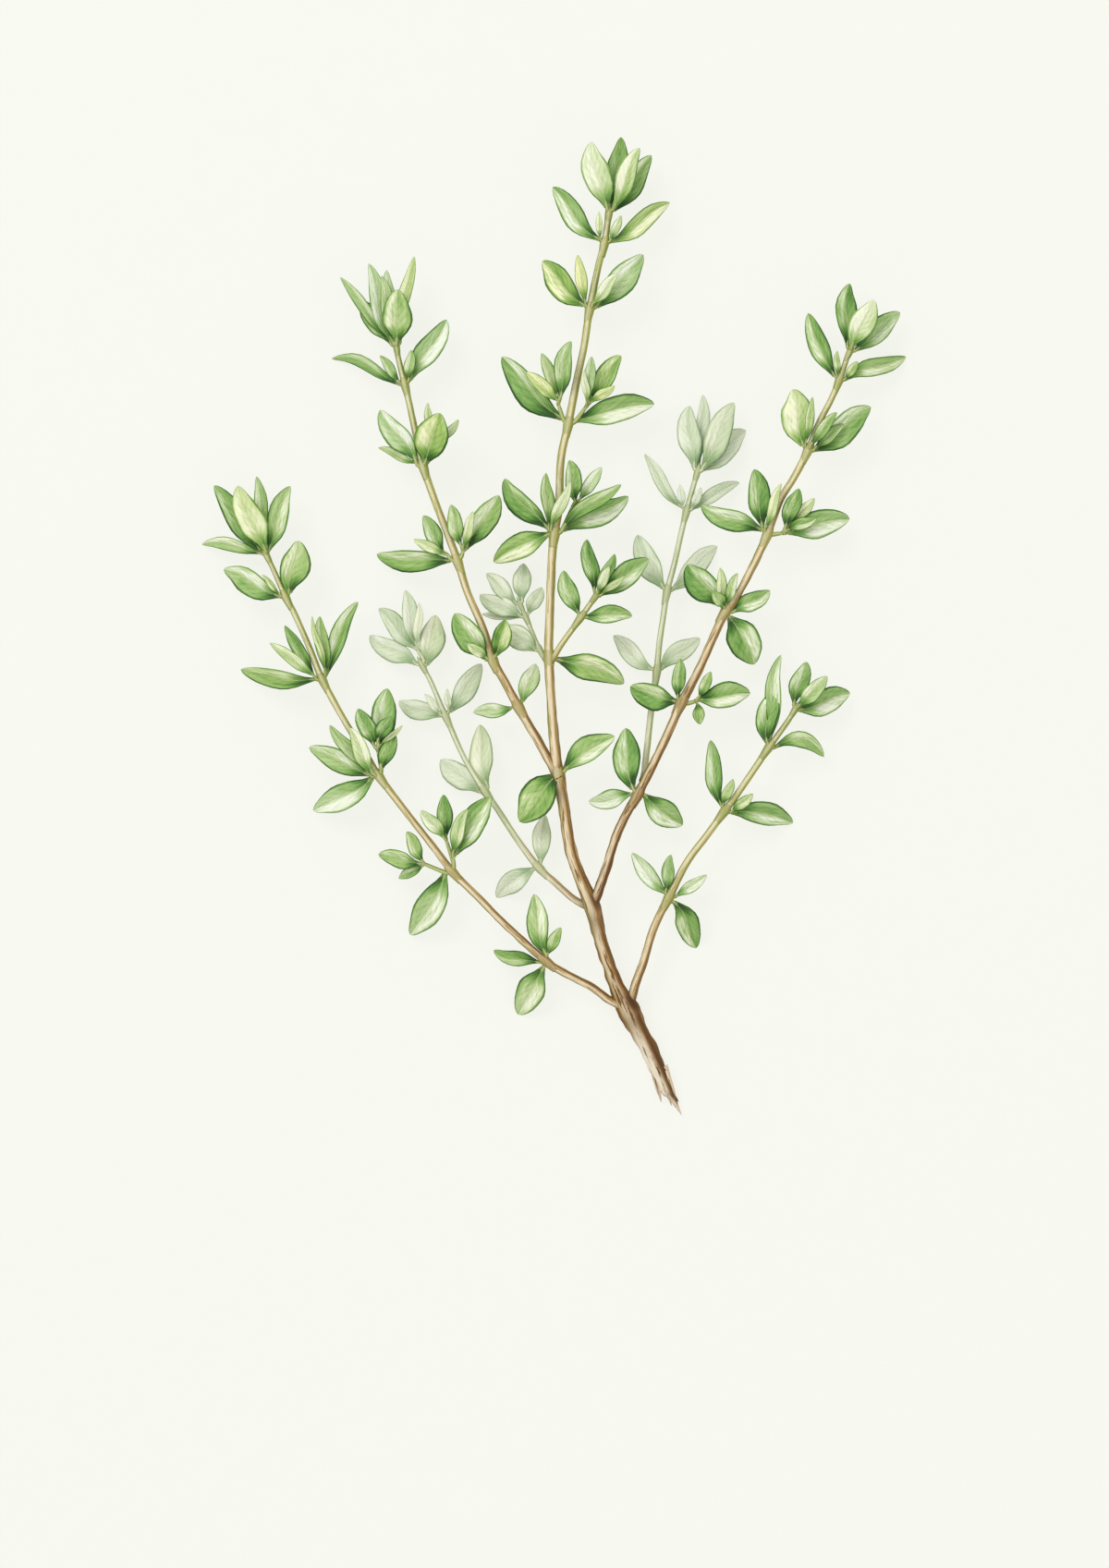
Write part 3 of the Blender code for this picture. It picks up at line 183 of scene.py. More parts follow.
WHORLS["low_left_stem"] = (
    ((-1.0, -36.0), (), (
        ((-1.5, -34.6, 3.9), (-2.2, -28.8, 3.6), 2.2, 0, 4, 0, 26, 58, -40, 20),
        ((-0.6, -34.9, 3.9), (0.7, -32.4, 4.3), 1.2, 0, 0, 0, 30, 52, 40, 30),
        ((-2.1, -36.2, 3.0), (-6.6, -34.9, 1.6), 1.5, 0, 6, 0, 34, 38, 50, 20),
        ((-1.5, -37.2, 3.2), (-4.0, -41.9, 0.0), 2.9, 10, 0, 0, 24, 58, 50, 20))),
    ((-11.1, -26.3), ((-14.1, -25.5, 4.5), (-11.0, -24.7, 5.3), (-11.7, -22.9, 5.6)), (
        ((-14.8, -25.4, 4.4), (-19.1, -24.5, 2.6), 1.7, 0, 0, 1, 34, 50, -50, 20),
        ((-14.4, -25.0, 4.8), (-16.0, -22.0, 5.2), 1.4, 0, 0, 1, 26, 50, 50, 30),
        ((-14.4, -25.9, 4.3), (-16.9, -27.1, 2.8), 1.1, 0, 0, 1, 30, 48, -40, 20),
        ((-12.5, -27.2, 4.2), (-15.7, -33.2, 0.9), 3.0, 10, 4, 0, 26, 60, 70, 10),
        ((-11.8, -22.3, 5.6), (-12.0, -18.0, 5.2), 1.6, 0, 0, 3, 28, 32, 40, 15),
        ((-12.1, -22.5, 6.1), (-14.4, -19.7, 6.8), 1.5, 0, 0, 3, 22, 70, 40, 20),
        ((-11.0, -24.1, 5.8), (-9.4, -19.6, 6.4), 1.4, 0, 4, 2, 24, 66, -40, 30),
        ((-10.5, -24.2, 5.1), (-7.0, -18.3, 5.0), 2.8, -12, 3, 2, 28, 50, -80, 10))),
    ((-19.0, -16.0), ((-19.1, -13.2, 5.7),), (
        ((-20.0, -16.5, 4.8), (-26.2, -19.7, 1.6), 2.7, 10, 3, 0, 26, 64, 80, 5),
        ((-21.9, -14.9, 4.9), (-26.6, -12.9, 3.2), 2.2, -10, 0, 0, 28, 54, -50, 15),
        ((-22.6, -13.7, 5.3), (-24.3, -10.5, 5.4), 1.4, 0, 0, 0, 30, 52, 40, 20),
        ((-20.7, -14.6, 6.2), (-22.1, -10.8, 7.2), 1.7, 0, 0, 0, 18, 76, -50, 35),
        ((-19.9, -12.2, 5.9), (-21.2, -8.7, 6.0), 1.8, 0, 0, 1, 30, 42, 50, 10),
        ((-18.9, -12.7, 5.0), (-18.1, -6.5, 4.0), 2.6, 10, 0, 1, 28, 50, 60, 10),
        ((-19.1, -11.4, 6.3), (-17.6, -9.5, 6.8), 1.6, 0, 0, 1, 26, 32, 30, 10),
        ((-18.7, -12.3, 6.0), (-16.4, -10.5, 6.2), 0.6, 0, 0, 1, 24, 74, 30, 40),
        ((-18.6, -14.5, 5.6), (-17.3, -11.4, 5.8), 1.6, 0, 0, 0, 28, 30, 30, 20))),
    ((-25.1, -5.6), (), (
        ((-26.3, -5.1, 4.9), (-34.1, -4.4, 0.0), 1.8, 0, 5, 0, 40, 48, -60, 30),
        ((-27.1, -3.6, 5.5), (-30.8, -1.6, 5.8), 1.2, 0, 0, 0, 28, 68, -40, 30),
        ((-27.5, -2.9, 5.0), (-29.2, 0.3, 4.8), 1.3, 0, 0, 0, 30, 36, 40, 10),
        ((-24.8, -3.4, 5.1), (-25.4, 1.3, 4.9), 1.5, 0, 0, 0, 30, 52, 50, 30),
        ((-25.3, -2.8, 5.6), (-26.2, 1.3, 5.9), 0.7, 0, 0, 0, 20, 64, 30, 50),
        ((-24.4, -4.7, 4.9), (-21.3, 2.9, 2.6), 1.7, 10, 5, 0, 30, 52, 70, 15))),
    ((-29.1, 3.4), (), (
        ((-30.0, 3.8, 4.8), (-35.9, 6.4, 2.2), 2.5, -10, 0, 0, 28, 58, -70, 10),
        ((-28.6, 4.0, 4.9), (-27.8, 9.5, 4.0), 3.0, 8, 0, 0, 26, 54, 70, 30),
        ((-30.3, 4.6, 5.3), (-31.6, 5.8, 5.7), 0.6, 0, 0, 0, 20, 62, 30, 50))),
    ((-31.2, 8.0), (), (
        ((-31.9, 9.0, 4.6), (-36.9, 15.5, 3.0), 2.2, -10, 0, 0, 30, 36, 60, 10),
        ((-31.5, 9.1, 5.4), (-34.2, 15.4, 6.0), 2.8, 0, 4, 0, 20, 73, 30, 45),
        ((-31.3, 9.0, 4.4), (-32.3, 16.5, 3.2), 1.5, 0, 0, 0, 28, 50, 40, 10),
        ((-30.8, 8.7, 4.8), (-28.6, 15.4, 3.8), 2.1, 10, 4, 0, 28, 54, -60, 20),
        ((-32.0, 8.2, 4.6), (-38.3, 9.2, 0.6), 1.3, 0, -5, 0, 40, 60, -60, 20))),
)
WHORLS["low_right_stem"] = (
    ((12.4, -29.1), (), (
        ((11.9, -28.5, 4.1), (8.4, -24.3, 3.4), 1.7, 0, 4, 0, 22, 74, 40, 0),
        ((12.2, -27.6, 4.6), (12.6, -24.5, 4.9), 1.3, 0, 0, 0, 26, 48, 30, 0),
        ((13.4, -28.6, 4.1), (16.5, -26.7, 3.6), 1.2, 0, 0, 0, 24, 72, -40, 10),
        ((13.4, -29.7, 3.9), (15.4, -34.7, 0.0), 2.4, 8, 4, 0, 24, 42, -70, 20))),
    ((18.4, -19.8), (), (
        ((17.9, -18.9, 4.7), (16.9, -12.1, 3.8), 1.7, 0, 3, 0, 30, 42, 60, 10),
        ((18.4, -18.5, 5.2), (19.3, -16.3, 5.4), 1.0, 0, 0, 0, 26, 56, 30, 40),
        ((19.8, -19.3, 4.8), (21.5, -17.9, 4.6), 1.1, 0, 0, 0, 26, 62, -30, 30),
        ((19.3, -20.1, 4.6), (25.9, -21.1, 0.0), 2.4, 10, 6, 0, 28, 52, -60, 10))),
    ((23.2, -12.9), (), (
        ((22.8, -12.2, 5.2), (23.7, -6.5, 5.0), 2.2, 0, 4, 0, 28, 46, 60, 10),
        ((24.4, -10.8, 4.6), (24.5, -2.9, 4.4), 1.6, 0, 3, 0, 30, 56, -60, 10),
        ((24.1, -12.7, 4.3), (29.2, -13.9, 2.6), 1.6, 0, 25, 0, 36, 50, 50, 20))),
    ((26.1, -8.7), (), (
        ((26.3, -7.8, 4.3), (27.3, -3.6, 3.4), 1.9, 0, 0, 0, 28, 48, 50, 10),
        ((26.5, -8.3, 4.9), (29.5, -5.2, 5.4), 1.7, 0, 0, 0, 24, 62, 60, 20),
        ((26.7, -8.9, 4.1), (32.1, -7.0, 1.4), 2.6, 10, 0, 0, 26, 56, -80, 10))),
)
WHORLS["tall_right_stem"] = (
    ((9.0, -18.0), (), (
        ((8.2, -17.1, 5.9), (7.7, -10.8, 5.0), 2.8, -8, 4, 0, 26, 42, 80, 10),
        ((9.9, -18.3, 5.2), (13.9, -21.3, 3.0), 2.7, 8, -5, 0, 26, 54, -80, 10),
        ((8.0, -17.9, 5.2), (3.7, -18.7, 3.8), 1.9, 0, 6, 0, 26, 74, 40, 0))),
    ((13.7, -8.1), ((15.2, -7.9, 5.6),), (
        ((12.9, -7.8, 5.6), (8.2, -6.3, 4.8), 2.6, -10, 4, 0, 32, 42, -70, 20),
        ((13.3, -6.9, 6.4), (13.6, -3.3, 6.6), 1.4, 0, 0, 0, 30, 44, 50, 15),
        ((15.9, -7.1, 6.0), (16.9, -4.7, 6.4), 1.1, 0, 0, 1, 28, 50, 40, 30),
        ((15.9, -7.6, 5.5), (21.2, -7.0, 4.0), 2.6, 0, 0, 1, 28, 56, -90, 15),
        ((15.6, -8.3, 5.4), (15.8, -10.4, 4.8), 1.2, 0, 0, 1, 26, 48, 40, 40))),
    ((18.5, 1.8), (), (
        ((17.7, 2.7, 5.8), (14.4, 6.9, 4.6), 3.0, -10, 0, 0, 32, 42, -70, 10),
        ((18.2, 2.5, 7.1), (17.1, 3.9, 7.6), 1.3, 0, 0, 0, 26, 50, 40, 30),
        ((18.2, 3.4, 6.4), (17.9, 6.5, 6.8), 1.1, 0, 0, 0, 24, 66, 40, 40),
        ((18.9, 3.6, 6.8), (19.8, 5.9, 7.3), 1.0, 0, 0, 0, 26, 60, -40, 30),
        ((19.6, 2.0, 5.8), (23.3, 4.1, 5.0), 1.9, 0, 0, 0, 28, 52, -70, 10),
        ((19.0, 1.0, 5.7), (21.6, -3.9, 4.0), 3.4, 8, 4, 0, 22, 46, 70, 15))),
    ((23.0, 10.1), ((24.7, 10.3, 5.7),), (
        ((22.0, 10.7, 5.6), (15.9, 13.3, 4.6), 2.1, 0, 3, 0, 36, 50, -60, 10),
        ((22.2, 12.8, 6.1), (21.6, 17.2, 5.4), 2.3, 0, 0, 0, 28, 36, 70, 10),
        ((22.8, 11.9, 6.8), (24.5, 15.6, 7.4), 1.0, 0, 0, 0, 22, 72, 30, 50),
        ((25.2, 11.5, 6.1), (26.4, 15.1, 6.0), 1.7, 0, 0, 1, 30, 40, 40, 10),
        ((26.1, 12.0, 5.7), (28.1, 14.1, 5.4), 1.2, 0, 0, 1, 26, 68, 40, 40),
        ((25.5, 10.8, 6.0), (28.3, 11.9, 6.2), 1.2, 0, 0, 1, 30, 50, -50, 20),
        ((25.6, 10.4, 5.3), (32.0, 11.9, 2.8), 2.8, 10, 3, 1, 28, 58, -100, 5))),
    ((27.4, 19.2), (), (
        ((26.7, 20.0, 5.4), (25.8, 25.9, 4.2), 3.2, -8, 0, 0, 24, 70, 70, 40),
        ((27.5, 22.2, 6.2), (27.9, 25.0, 6.0), 0.9, 0, 0, 0, 26, 56, 30, 40),
        ((28.4, 21.4, 6.4), (30.5, 23.3, 6.8), 1.2, 0, 0, 0, 30, 48, 40, 20),
        ((28.8, 20.6, 5.7), (31.3, 22.1, 5.4), 1.2, 0, 0, 0, 30, 44, -40, 20),
        ((28.2, 19.8, 5.2), (34.3, 24.0, 3.0), 2.8, 10, 0, 0, 28, 54, 70, 10))),
    ((30.8, 26.8), (), (
        ((29.9, 27.4, 4.9), (27.5, 34.2, 3.0), 2.0, -8, 4, 0, 32, 44, 70, 15),
        ((31.6, 26.9, 4.9), (38.2, 29.6, 0.0), 1.8, 8, 3, 0, 34, 54, -80, 20),
        ((30.5, 27.9, 5.6), (30.6, 30.0, 5.9), 0.7, 0, 0, 0, 24, 62, 30, 50),
        ((31.8, 27.4, 5.2), (32.8, 28.9, 5.3), 0.9, 0, 0, 0, 26, 58, 30, 50))),
    ((32.0, 30.0), (), (
        ((31.7, 31.0, 4.7), (32.0, 37.4, 3.2), 2.2, 0, 4, 0, 28, 36, 60, 10),
        ((32.3, 30.9, 5.3), (34.5, 35.5, 5.8), 2.6, 0, 0, 0, 20, 78, 60, 25),
        ((32.9, 30.4, 4.6), (37.5, 34.3, 2.2), 2.2, 8, 0, 0, 28, 56, -50, 0))),
)
WHORLS["tall_left_stem"] = (
    ((-3.9, -8.5), (), (
        ((-3.2, -7.9, 5.0), (-2.1, -3.8, 3.2), 1.9, 0, 0, 0, 26, 70, 40, 10),
        ((-4.8, -8.8, 5.0), (-8.8, -9.1, 3.2), 1.5, 0, 0, 0, 28, 68, -40, 10))),
    ((-6.7, -3.4), (), (
        ((-7.6, -2.7, 5.5), (-10.8, 1.6, 5.0), 2.8, -12, 0, 0, 30, 50, -70, 15),
        ((-7.7, -2.9, 6.2), (-9.4, -1.7, 6.9), 1.1, 0, 0, 0, 24, 72, 30, 40),
        ((-6.0, -3.1, 6.2), (-5.3, 0.9, 6.8), 2.0, 10, 0, 0, 26, 40, -80, 50))),
    ((-10.5, 7.3), ((-11.6, 8.0, 5.7), (-9.9, 8.4, 5.8)), (
        ((-11.5, 7.1, 5.3), (-19.3, 8.1, 1.2), 2.2, -8, 3, 0, 36, 50, -70, 20),
        ((-12.2, 7.9, 6.0), (-15.2, 9.6, 6.3), 1.1, 0, 0, 1, 26, 70, 30, 40),
        ((-12.4, 8.4, 5.6), (-14.2, 12.2, 4.8), 1.7, 0, 0, 1, 28, 50, 50, 10),
        ((-10.3, 9.5, 6.5), (-11.2, 13.3, 7.2), 1.6, 0, 0, 2, 28, 54, 50, 20),
        ((-9.9, 9.1, 6.4), (-8.8, 12.6, 7.0), 1.0, 0, 0, 2, 24, 72, 30, 40),
        ((-9.4, 8.7, 5.5), (-6.0, 14.4, 4.2), 2.6, 10, 0, 2, 30, 52, 90, 20))),
    ((-14.2, 17.5), ((-13.1, 19.2, 5.9),), (
        ((-15.7, 20.3, 5.3), (-18.9, 23.7, 3.4), 2.4, -10, 0, 0, 26, 68, -60, 0),
        ((-15.4, 18.9, 5.1), (-19.1, 19.6, 3.2), 0.9, 0, 0, 0, 32, 60, -30, 30),
        ((-13.6, 21.1, 5.5), (-13.7, 24.4, 5.4), 0.9, 0, 0, 1, 24, 66, 30, 40),
        ((-13.7, 18.0, 6.4), (-12.4, 23.2, 7.4), 3.4, 0, 0, 0, 26, 47, 55, 60),
        ((-11.8, 20.6, 5.3), (-10.4, 22.6, 5.0), 0.9, 0, 0, 1, 26, 66, 30, 20))),
    ((-16.2, 26.4), (), (
        ((-17.0, 26.3, 4.8), (-24.2, 29.4, 0.0), 1.2, 0, -8, 0, 42, 44, -60, 10),
        ((-17.2, 27.3, 5.1), (-18.9, 29.5, 5.0), 1.0, 0, 0, 0, 28, 50, 40, 10),
        ((-15.6, 27.3, 5.2), (-15.5, 30.1, 5.5), 1.1, 0, 0, 0, 26, 56, 40, 20),
        ((-15.2, 27.3, 4.6), (-11.7, 33.5, 2.8), 2.4, 8, 0, 0, 32, 58, -90, 0))),
    ((-17.1, 30.5), (), (
        ((-17.1, 31.5, 5.5), (-16.9, 36.6, 6.6), 3.0, 0, 0, 0, 24, 58, 50, 30),
        ((-18.0, 31.3, 4.4), (-21.0, 35.6, 2.4), 2.2, -10, 0, 0, 30, 40, 50, 10),
        ((-18.6, 33.2, 4.3), (-23.2, 38.1, 3.0), 1.2, 0, 0, 0, 30, 54, -40, 10),
        ((-17.6, 31.8, 4.9), (-20.1, 39.5, 4.2), 1.8, 0, 3, 0, 26, 62, 50, 0),
        ((-18.0, 33.6, 5.6), (-18.7, 38.1, 5.8), 1.4, 0, 0, 0, 24, 54, 40, 20),
        ((-17.3, 32.4, 4.1), (-18.2, 38.9, 2.8), 1.5, 0, 0, 0, 26, 70, 40, 10),
        ((-16.5, 33.6, 4.6), (-15.2, 40.3, 3.8), 1.3, 0, 5, 0, 34, 66, 50, 50))),
)
WHORLS["pale_left_stem"] = (
    ((-1.7, -25.9), (), (
        ((-1.4, -25.1, 3.0), (-1.0, -20.2, 1.4), 1.9, 0, 3, 0, 24, 62, 40, 10),
        ((-2.5, -26.1, 2.8), (-6.3, -29.2, 0.0), 2.2, 0, -6, 0, 24, 62, 40, 0))),
    ((-7.5, -17.7), (), (
        ((-7.4, -16.8, 2.8), (-8.1, -10.4, 1.0), 2.4, 0, 3, 0, 22, 56, 50, 20),
        ((-8.4, -17.7, 2.5), (-12.4, -14.2, 0.0), 2.5, -8, 0, 0, 26, 66, -40, 0))),
    ((-11.8, -9.5), (), (
        ((-12.5, -9.4, 2.8), (-16.9, -7.8, 0.0), 2.0, 0, 3, 0, 26, 60, -40, 0),
        ((-12.7, -8.6, 3.3), (-14.1, -7.1, 3.5), 0.8, 0, 0, 0, 24, 70, 30, 10),
        ((-11.0, -8.9, 2.9), (-7.9, -3.8, 0.8), 2.2, 8, 0, 0, 26, 52, 50, 0),
        ((-11.3, -8.4, 3.5), (-11.6, -6.5, 3.8), 0.7, 0, 0, 0, 24, 66, 30, 10))),
    ((-14.4, -3.9), ((-14.9, -2.2, 3.0),), (
        ((-15.2, -3.8, 2.8), (-20.1, -0.7, 0.0), 2.2, -8, 0, 0, 26, 58, -40, 0),
        ((-15.3, -2.0, 2.8), (-19.1, 2.2, 1.0), 2.0, 0, 0, 1, 26, 50, 40, 0),
        ((-15.0, -1.5, 3.1), (-16.2, 4.2, 2.2), 1.7, 0, 0, 1, 26, 62, 40, 0),
        ((-14.7, -1.5, 3.4), (-14.7, 2.8, 3.8), 0.9, 0, 0, 1, 22, 74, 30, 20),
        ((-13.7, -4.0, 2.8), (-12.9, 1.5, 1.4), 2.6, 8, 0, 0, 22, 58, 60, 20))),
)
WHORLS["pale_right_stem"] = (
    ((11.1, -4.6), (), (
        ((10.4, -4.3, 2.8), (6.4, -0.7, 0.0), 1.9, 0, 4, 0, 26, 66, -40, 0),
        ((11.8, -4.3, 2.8), (15.8, -1.0, 1.0), 2.0, 0, 3, 0, 26, 62, 40, 0))),
    ((12.2, 4.0), (), (
        ((11.7, 4.6, 2.8), (9.0, 10.2, 1.2), 2.4, -8, 4, 0, 26, 54, -40, 0),
        ((12.9, 4.5, 2.8), (17.7, 9.0, 0.0), 2.2, 8, 0, 0, 26, 66, 40, 0))),
    ((14.3, 12.7), (), (
        ((13.6, 13.3, 2.8), (9.8, 19.0, 1.0), 1.3, 0, 3, 0, 28, 56, -40, 0),
        ((13.6, 13.8, 3.3), (13.6, 15.6, 3.6), 0.8, 0, 0, 0, 24, 68, 30, 0),
        ((15.2, 13.6, 3.3), (15.9, 15.3, 3.5), 0.9, 0, 0, 0, 24, 64, 30, 0),
        ((15.1, 13.2, 2.8), (20.1, 15.9, 0.8), 1.4, 0, 3, 0, 30, 60, -30, 0))),
    ((15.5, 17.0), (), (
        ((15.2, 17.9, 3.0), (14.7, 24.2, 1.8), 2.4, 0, 3, 0, 24, 54, 40, 0),
        ((15.9, 18.5, 2.5), (16.1, 25.5, 0.0), 1.5, 0, 0, 0, 24, 62, 30, 0),
        ((16.1, 18.2, 3.1), (19.5, 24.5, 2.4), 2.6, 8, 0, 0, 22, 50, 50, 10),
        ((16.2, 17.6, 2.8), (20.8, 21.6, 0.0), 2.6, 0, 0, 0, 26, 66, -30, 0))),
)
WHORLS["small_right_stem"] = (
    ((2.8, 1.1), (), (
        ((2.4, 1.8, 6.7), (1.0, 6.2, 7.2), 1.9, -10, 5, 0, 32, 46, 60, 10),
        ((3.5, 1.2, 6.4), (8.4, 1.3, 5.0), 1.8, 0, 4, 0, 30, 52, -60, 20))),
    ((4.5, 3.5), (), (
        ((4.3, 4.4, 6.3), (3.5, 9.6, 5.8), 1.6, 0, 0, 0, 34, 34, 60, 10),
        ((5.0, 4.3, 6.6), (6.5, 8.0, 6.8), 1.2, 0, 0, 0, 30, 36, 50, 20),
        ((4.7, 4.2, 7.0), (5.9, 6.6, 8.2), 1.0, 0, 0, 0, 24, 74, 30, 30),
        ((5.3, 4.1, 6.0), (10.2, 7.5, 4.8), 2.4, 10, 0, 0, 30, 46, -50, 10),
        ((5.4, 3.9, 6.7), (7.5, 5.6, 7.4), 0.8, 0, 0, 0, 26, 66, 30, 40))),
)
WHORLS["small_left_stem"] = (
    ((-1.6, -2.3), (), (
        ((-2.2, -2.4, 4.4), (-5.4, 0.3, 3.0), 2.4, -8, 0, 0, 26, 50, -50, 10),)),
    ((-3.1, 1.2), (), (
        ((-3.8, 1.4, 3.3), (-8.1, 3.7, 1.6), 2.0, 0, 0, 0, 26, 56, -40, 0),
        ((-2.5, 1.6, 3.4), (-1.4, 4.5, 3.2), 1.5, 0, 0, 0, 26, 58, 30, 0),
        ((-3.8, 1.0, 2.9), (-7.9, 1.6, 0.8), 1.0, 0, 0, 0, 28, 66, -30, 0))),
    ((-3.7, 2.6), (), (
        ((-3.6, 3.4, 3.2), (-3.4, 7.1, 2.0), 1.9, 0, 0, 0, 24, 54, 40, 0),
        ((-4.3, 3.2, 3.1), (-7.4, 6.0, 1.6), 1.7, 0, 0, 0, 24, 62, -30, 0))),
)

PALE_STEMS = ("pale_left_stem", "pale_right_stem", "small_left_stem")

# How woody each stem is at its start, middle and tip: 0 is green, 1 is brown bark
AGES = {
    "main_stem": (0.95, 0.36, 0.08), "low_left_stem": (0.66, 0.32, 0.06),
    "low_right_stem": (0.60, 0.22, 0.05), "tall_right_stem": (0.86, 0.48, 0.12),
    "tall_left_stem": (0.58, 0.28, 0.04), "pale_left_stem": (0.74, 0.10, 0.02),
    "pale_right_stem": (0.36, 0.14, 0.03), "small_right_stem": (0.28, 0.12, 0.04),
    "small_left_stem": (0.18, 0.08, 0.03),
}

# Torn wood at the cut end: rows of x, y, z and diameter, and what each strip is made of
SPLINTERS = (
    (((11.6, -47.6, 1.00, 1.50), (12.4, -49.9, 0.95, 1.10), (13.1, -51.5, 0.75, 0.60),
      (13.8, -52.8, 0.55, 0.06)), "wood"),
    (((12.0, -48.0, 1.25, 0.90), (12.75, -50.0, 1.20, 0.62), (13.35, -51.6, 1.00, 0.08)), "stem"),
    (((11.0, -47.8, 1.20, 1.00), (11.3, -49.8, 1.20, 0.60), (11.6, -51.4, 1.10, 0.06)), "wood"),
    (((11.4, -48.2, 1.50, 0.60), (11.9, -49.9, 1.45, 0.40), (12.3, -51.0, 1.35, 0.05)), "wood"),
    (((10.8, -47.6, 1.30, 0.80), (11.15, -49.4, 1.30, 0.44), (11.4, -50.7, 1.25, 0.06)), "stem"),
    (((11.8, -48.4, 0.60, 0.90), (12.3, -50.4, 0.50, 0.50), (12.7, -51.8, 0.40, 0.06)), "wood"),
)

# Leaf blade, millimetres
BLADE_LENGTH = 7.0        # the modelled leaf, before it is fitted to its place
BLADE_HALF_WIDTH = 1.3
BLADE_THICKNESS = 0.16
BLADE_STATIONS = (        # place along the blade, share of the full width
    (0.00, 0.20), (0.045, 0.27), (0.13, 0.46), (0.22, 0.72), (0.32, 0.92), (0.41, 1.00),
    (0.52, 1.00), (0.63, 0.93), (0.74, 0.78), (0.84, 0.57), (0.92, 0.38), (0.97, 0.22), (1.00, 0.05))
BLADE_ROWS = (-0.12, 0.01, 0.00, -0.09, 0.00, 0.01, -0.12)   # height from margin to margin
FULLNESS = 1.06           # share of the CAD leaf's width, seen from above
RIB_ROUNDING = 0.16       # how softly the two halves meet at the midrib
LEAF_ARCH = 0.07          # rise of a leaf's middle, as a fraction of its length
LEAF_SWAY = 0.028         # how far its midrib swings to each side, also as a fraction of its length

# Stalks, side shoots and the swollen ring of each node, millimetres
STALK_RADIUS = 0.23
SHOOT_RADIUS = 0.25
FOOT_REACH = 0.8          # how far a blade runs down its stalk
RIB_STATIONS = (          # the rib under a blade: place along it, share of the stalk's radius
    (0.12, 0.72), (0.30, 0.50), (0.50, 0.34), (0.70, 0.15))
STALK_GAP = 0.18          # a stalk turns towards its leaf this far out of the stem's skin
STALK_RISE = 0.3          # and this far along the stem
NODE_COLLAR = (           # place along the stem from its node, and how far the collar stands out
    (-1.5, -0.02), (-1.0, 0.03), (-0.45, 0.09), (0.0, 0.13), (0.4, 0.09), (0.9, -0.02))
TIP_COLLAR = ((-1.3, -0.02), (-0.8, 0.04), (-0.3, 0.09), (0.15, 0.08), (0.6, -0.05), (1.0, -0.22))
COLLAR_AGE = 0.7          # a node is younger than its stem
COLLAR_SHADE = 0.5        # and darkened by painted shade under its leaves: 0 is plain bark, 1 is a deep crease

# Stems, millimetres
TRUNK_TOP = -41.0         # the trunk is thickest below this level
FORKS = (-41.2, -30.3, -16.2)   # the levels at which its larger branches leave it
FORK_SWELL = 0.12         # how far a fork stands out from the trunk
FLARE = 0.45              # how much wider a branch is where it leaves its parent
SWELL_REACH = 0.9         # how far along a stem either of these goes
RIDGE_DEPTH = 0.05        # bark relief, as shares of the radius
BARK_DEPTH = 0.17
TEAR_LENGTH = 2.6         # how far up the trunk its torn end reaches
TRUNK_SLIMNESS = 0.90     # share of the plain rod that is left once bark relief is added
SLIMNESS = 0.95           # the same for the thinner stems
PALE_SLIMNESS = 0.88      # and for the weak pale shoots
ROUTE_STEP = 0.4          # spacing of the rings along a stem
STALK_STEP = 0.4          # and along the short rods
COLLAR_STEP = 0.2
SPLINTER_STEP = 0.35
STEM_SIDES = 16           # faces round each kind of rod
COLLAR_SIDES = 12
STALK_SIDES = 8
LOWEST = 0.02             # nothing lies lower than this on the floor

# The room and the camera
PAGE_HEIGHT = 169.7 * MM  # how much of the floor the camera sees from top to bottom
PAGE_MIDDLE = (0.0, -16.85)   # in the sprig's plan
FOCUS_HEIGHT = 5.0 * MM   # the level at which that height is measured
LENS = 220.0              # a long lens, so that the view is nearly flat
SENSOR_WIDTH = 36.0
FLOOR_SIZE = 3.0
WORLD_STRENGTH = 0.75
LAMPS = (                 # name, place, size, watts
    ("key", (-0.35, 0.38, 0.75), 0.50, 3.1),
    ("fill", (0.55, -0.25, 0.70), 0.9, 1.0),
)

# Colours, and for each ramp the place of each colour
FLOOR_COLOUR = (0.124, 0.125, 0.116)
FLOOR_GLOW = (0.798, 0.805, 0.747)     # the floor is a light table, so shadows stay faint

OLIVE = (0.36, 0.40, 0.10)
OLIVE_EDGE = (0.52, 0.58, 0.26)
# The colour that the painted shade in creases multiplies in
CREASE_SHADE_COLOUR = (0.42, 0.30, 0.24)
PALE_WOOD = (0.86, 0.78, 0.62)
LEAF_GREENS = (
    (0.00, (0.030, 0.090, 0.018)), (0.18, (0.080, 0.200, 0.036)), (0.36, (0.165, 0.335, 0.075)),
    (0.54, (0.315, 0.480, 0.165)), (0.76, (0.560, 0.670, 0.390)), (1.00, (0.850, 0.890, 0.745)))
PALE_GREENS = (
    (0.00, (0.210, 0.335, 0.150)), (0.25, (0.355, 0.475, 0.255)), (0.50, (0.540, 0.625, 0.410)),
    (0.75, (0.715, 0.770, 0.580)), (1.00, (0.870, 0.890, 0.770)))
STEM_BROWNS = (
    (0.00, (0.370, 0.460, 0.130)), (0.18, (0.560, 0.540, 0.210)), (0.40, (0.660, 0.470, 0.215)),
    (0.62, (0.540, 0.340, 0.125)), (0.84, (0.390, 0.212, 0.066)), (1.00, (0.245, 0.124, 0.042)))
PALE_STEM_BROWNS = (
    (0.00, (0.610, 0.690, 0.440)), (0.30, (0.730, 0.750, 0.530)), (0.60, (0.620, 0.450, 0.270)),
    (1.00, (0.380, 0.180, 0.085)))


# ---------------------------------------------------------------- tools

def deselect_all():
    for obj in bpy.context.view_layer.objects:
        obj.select_set(False)


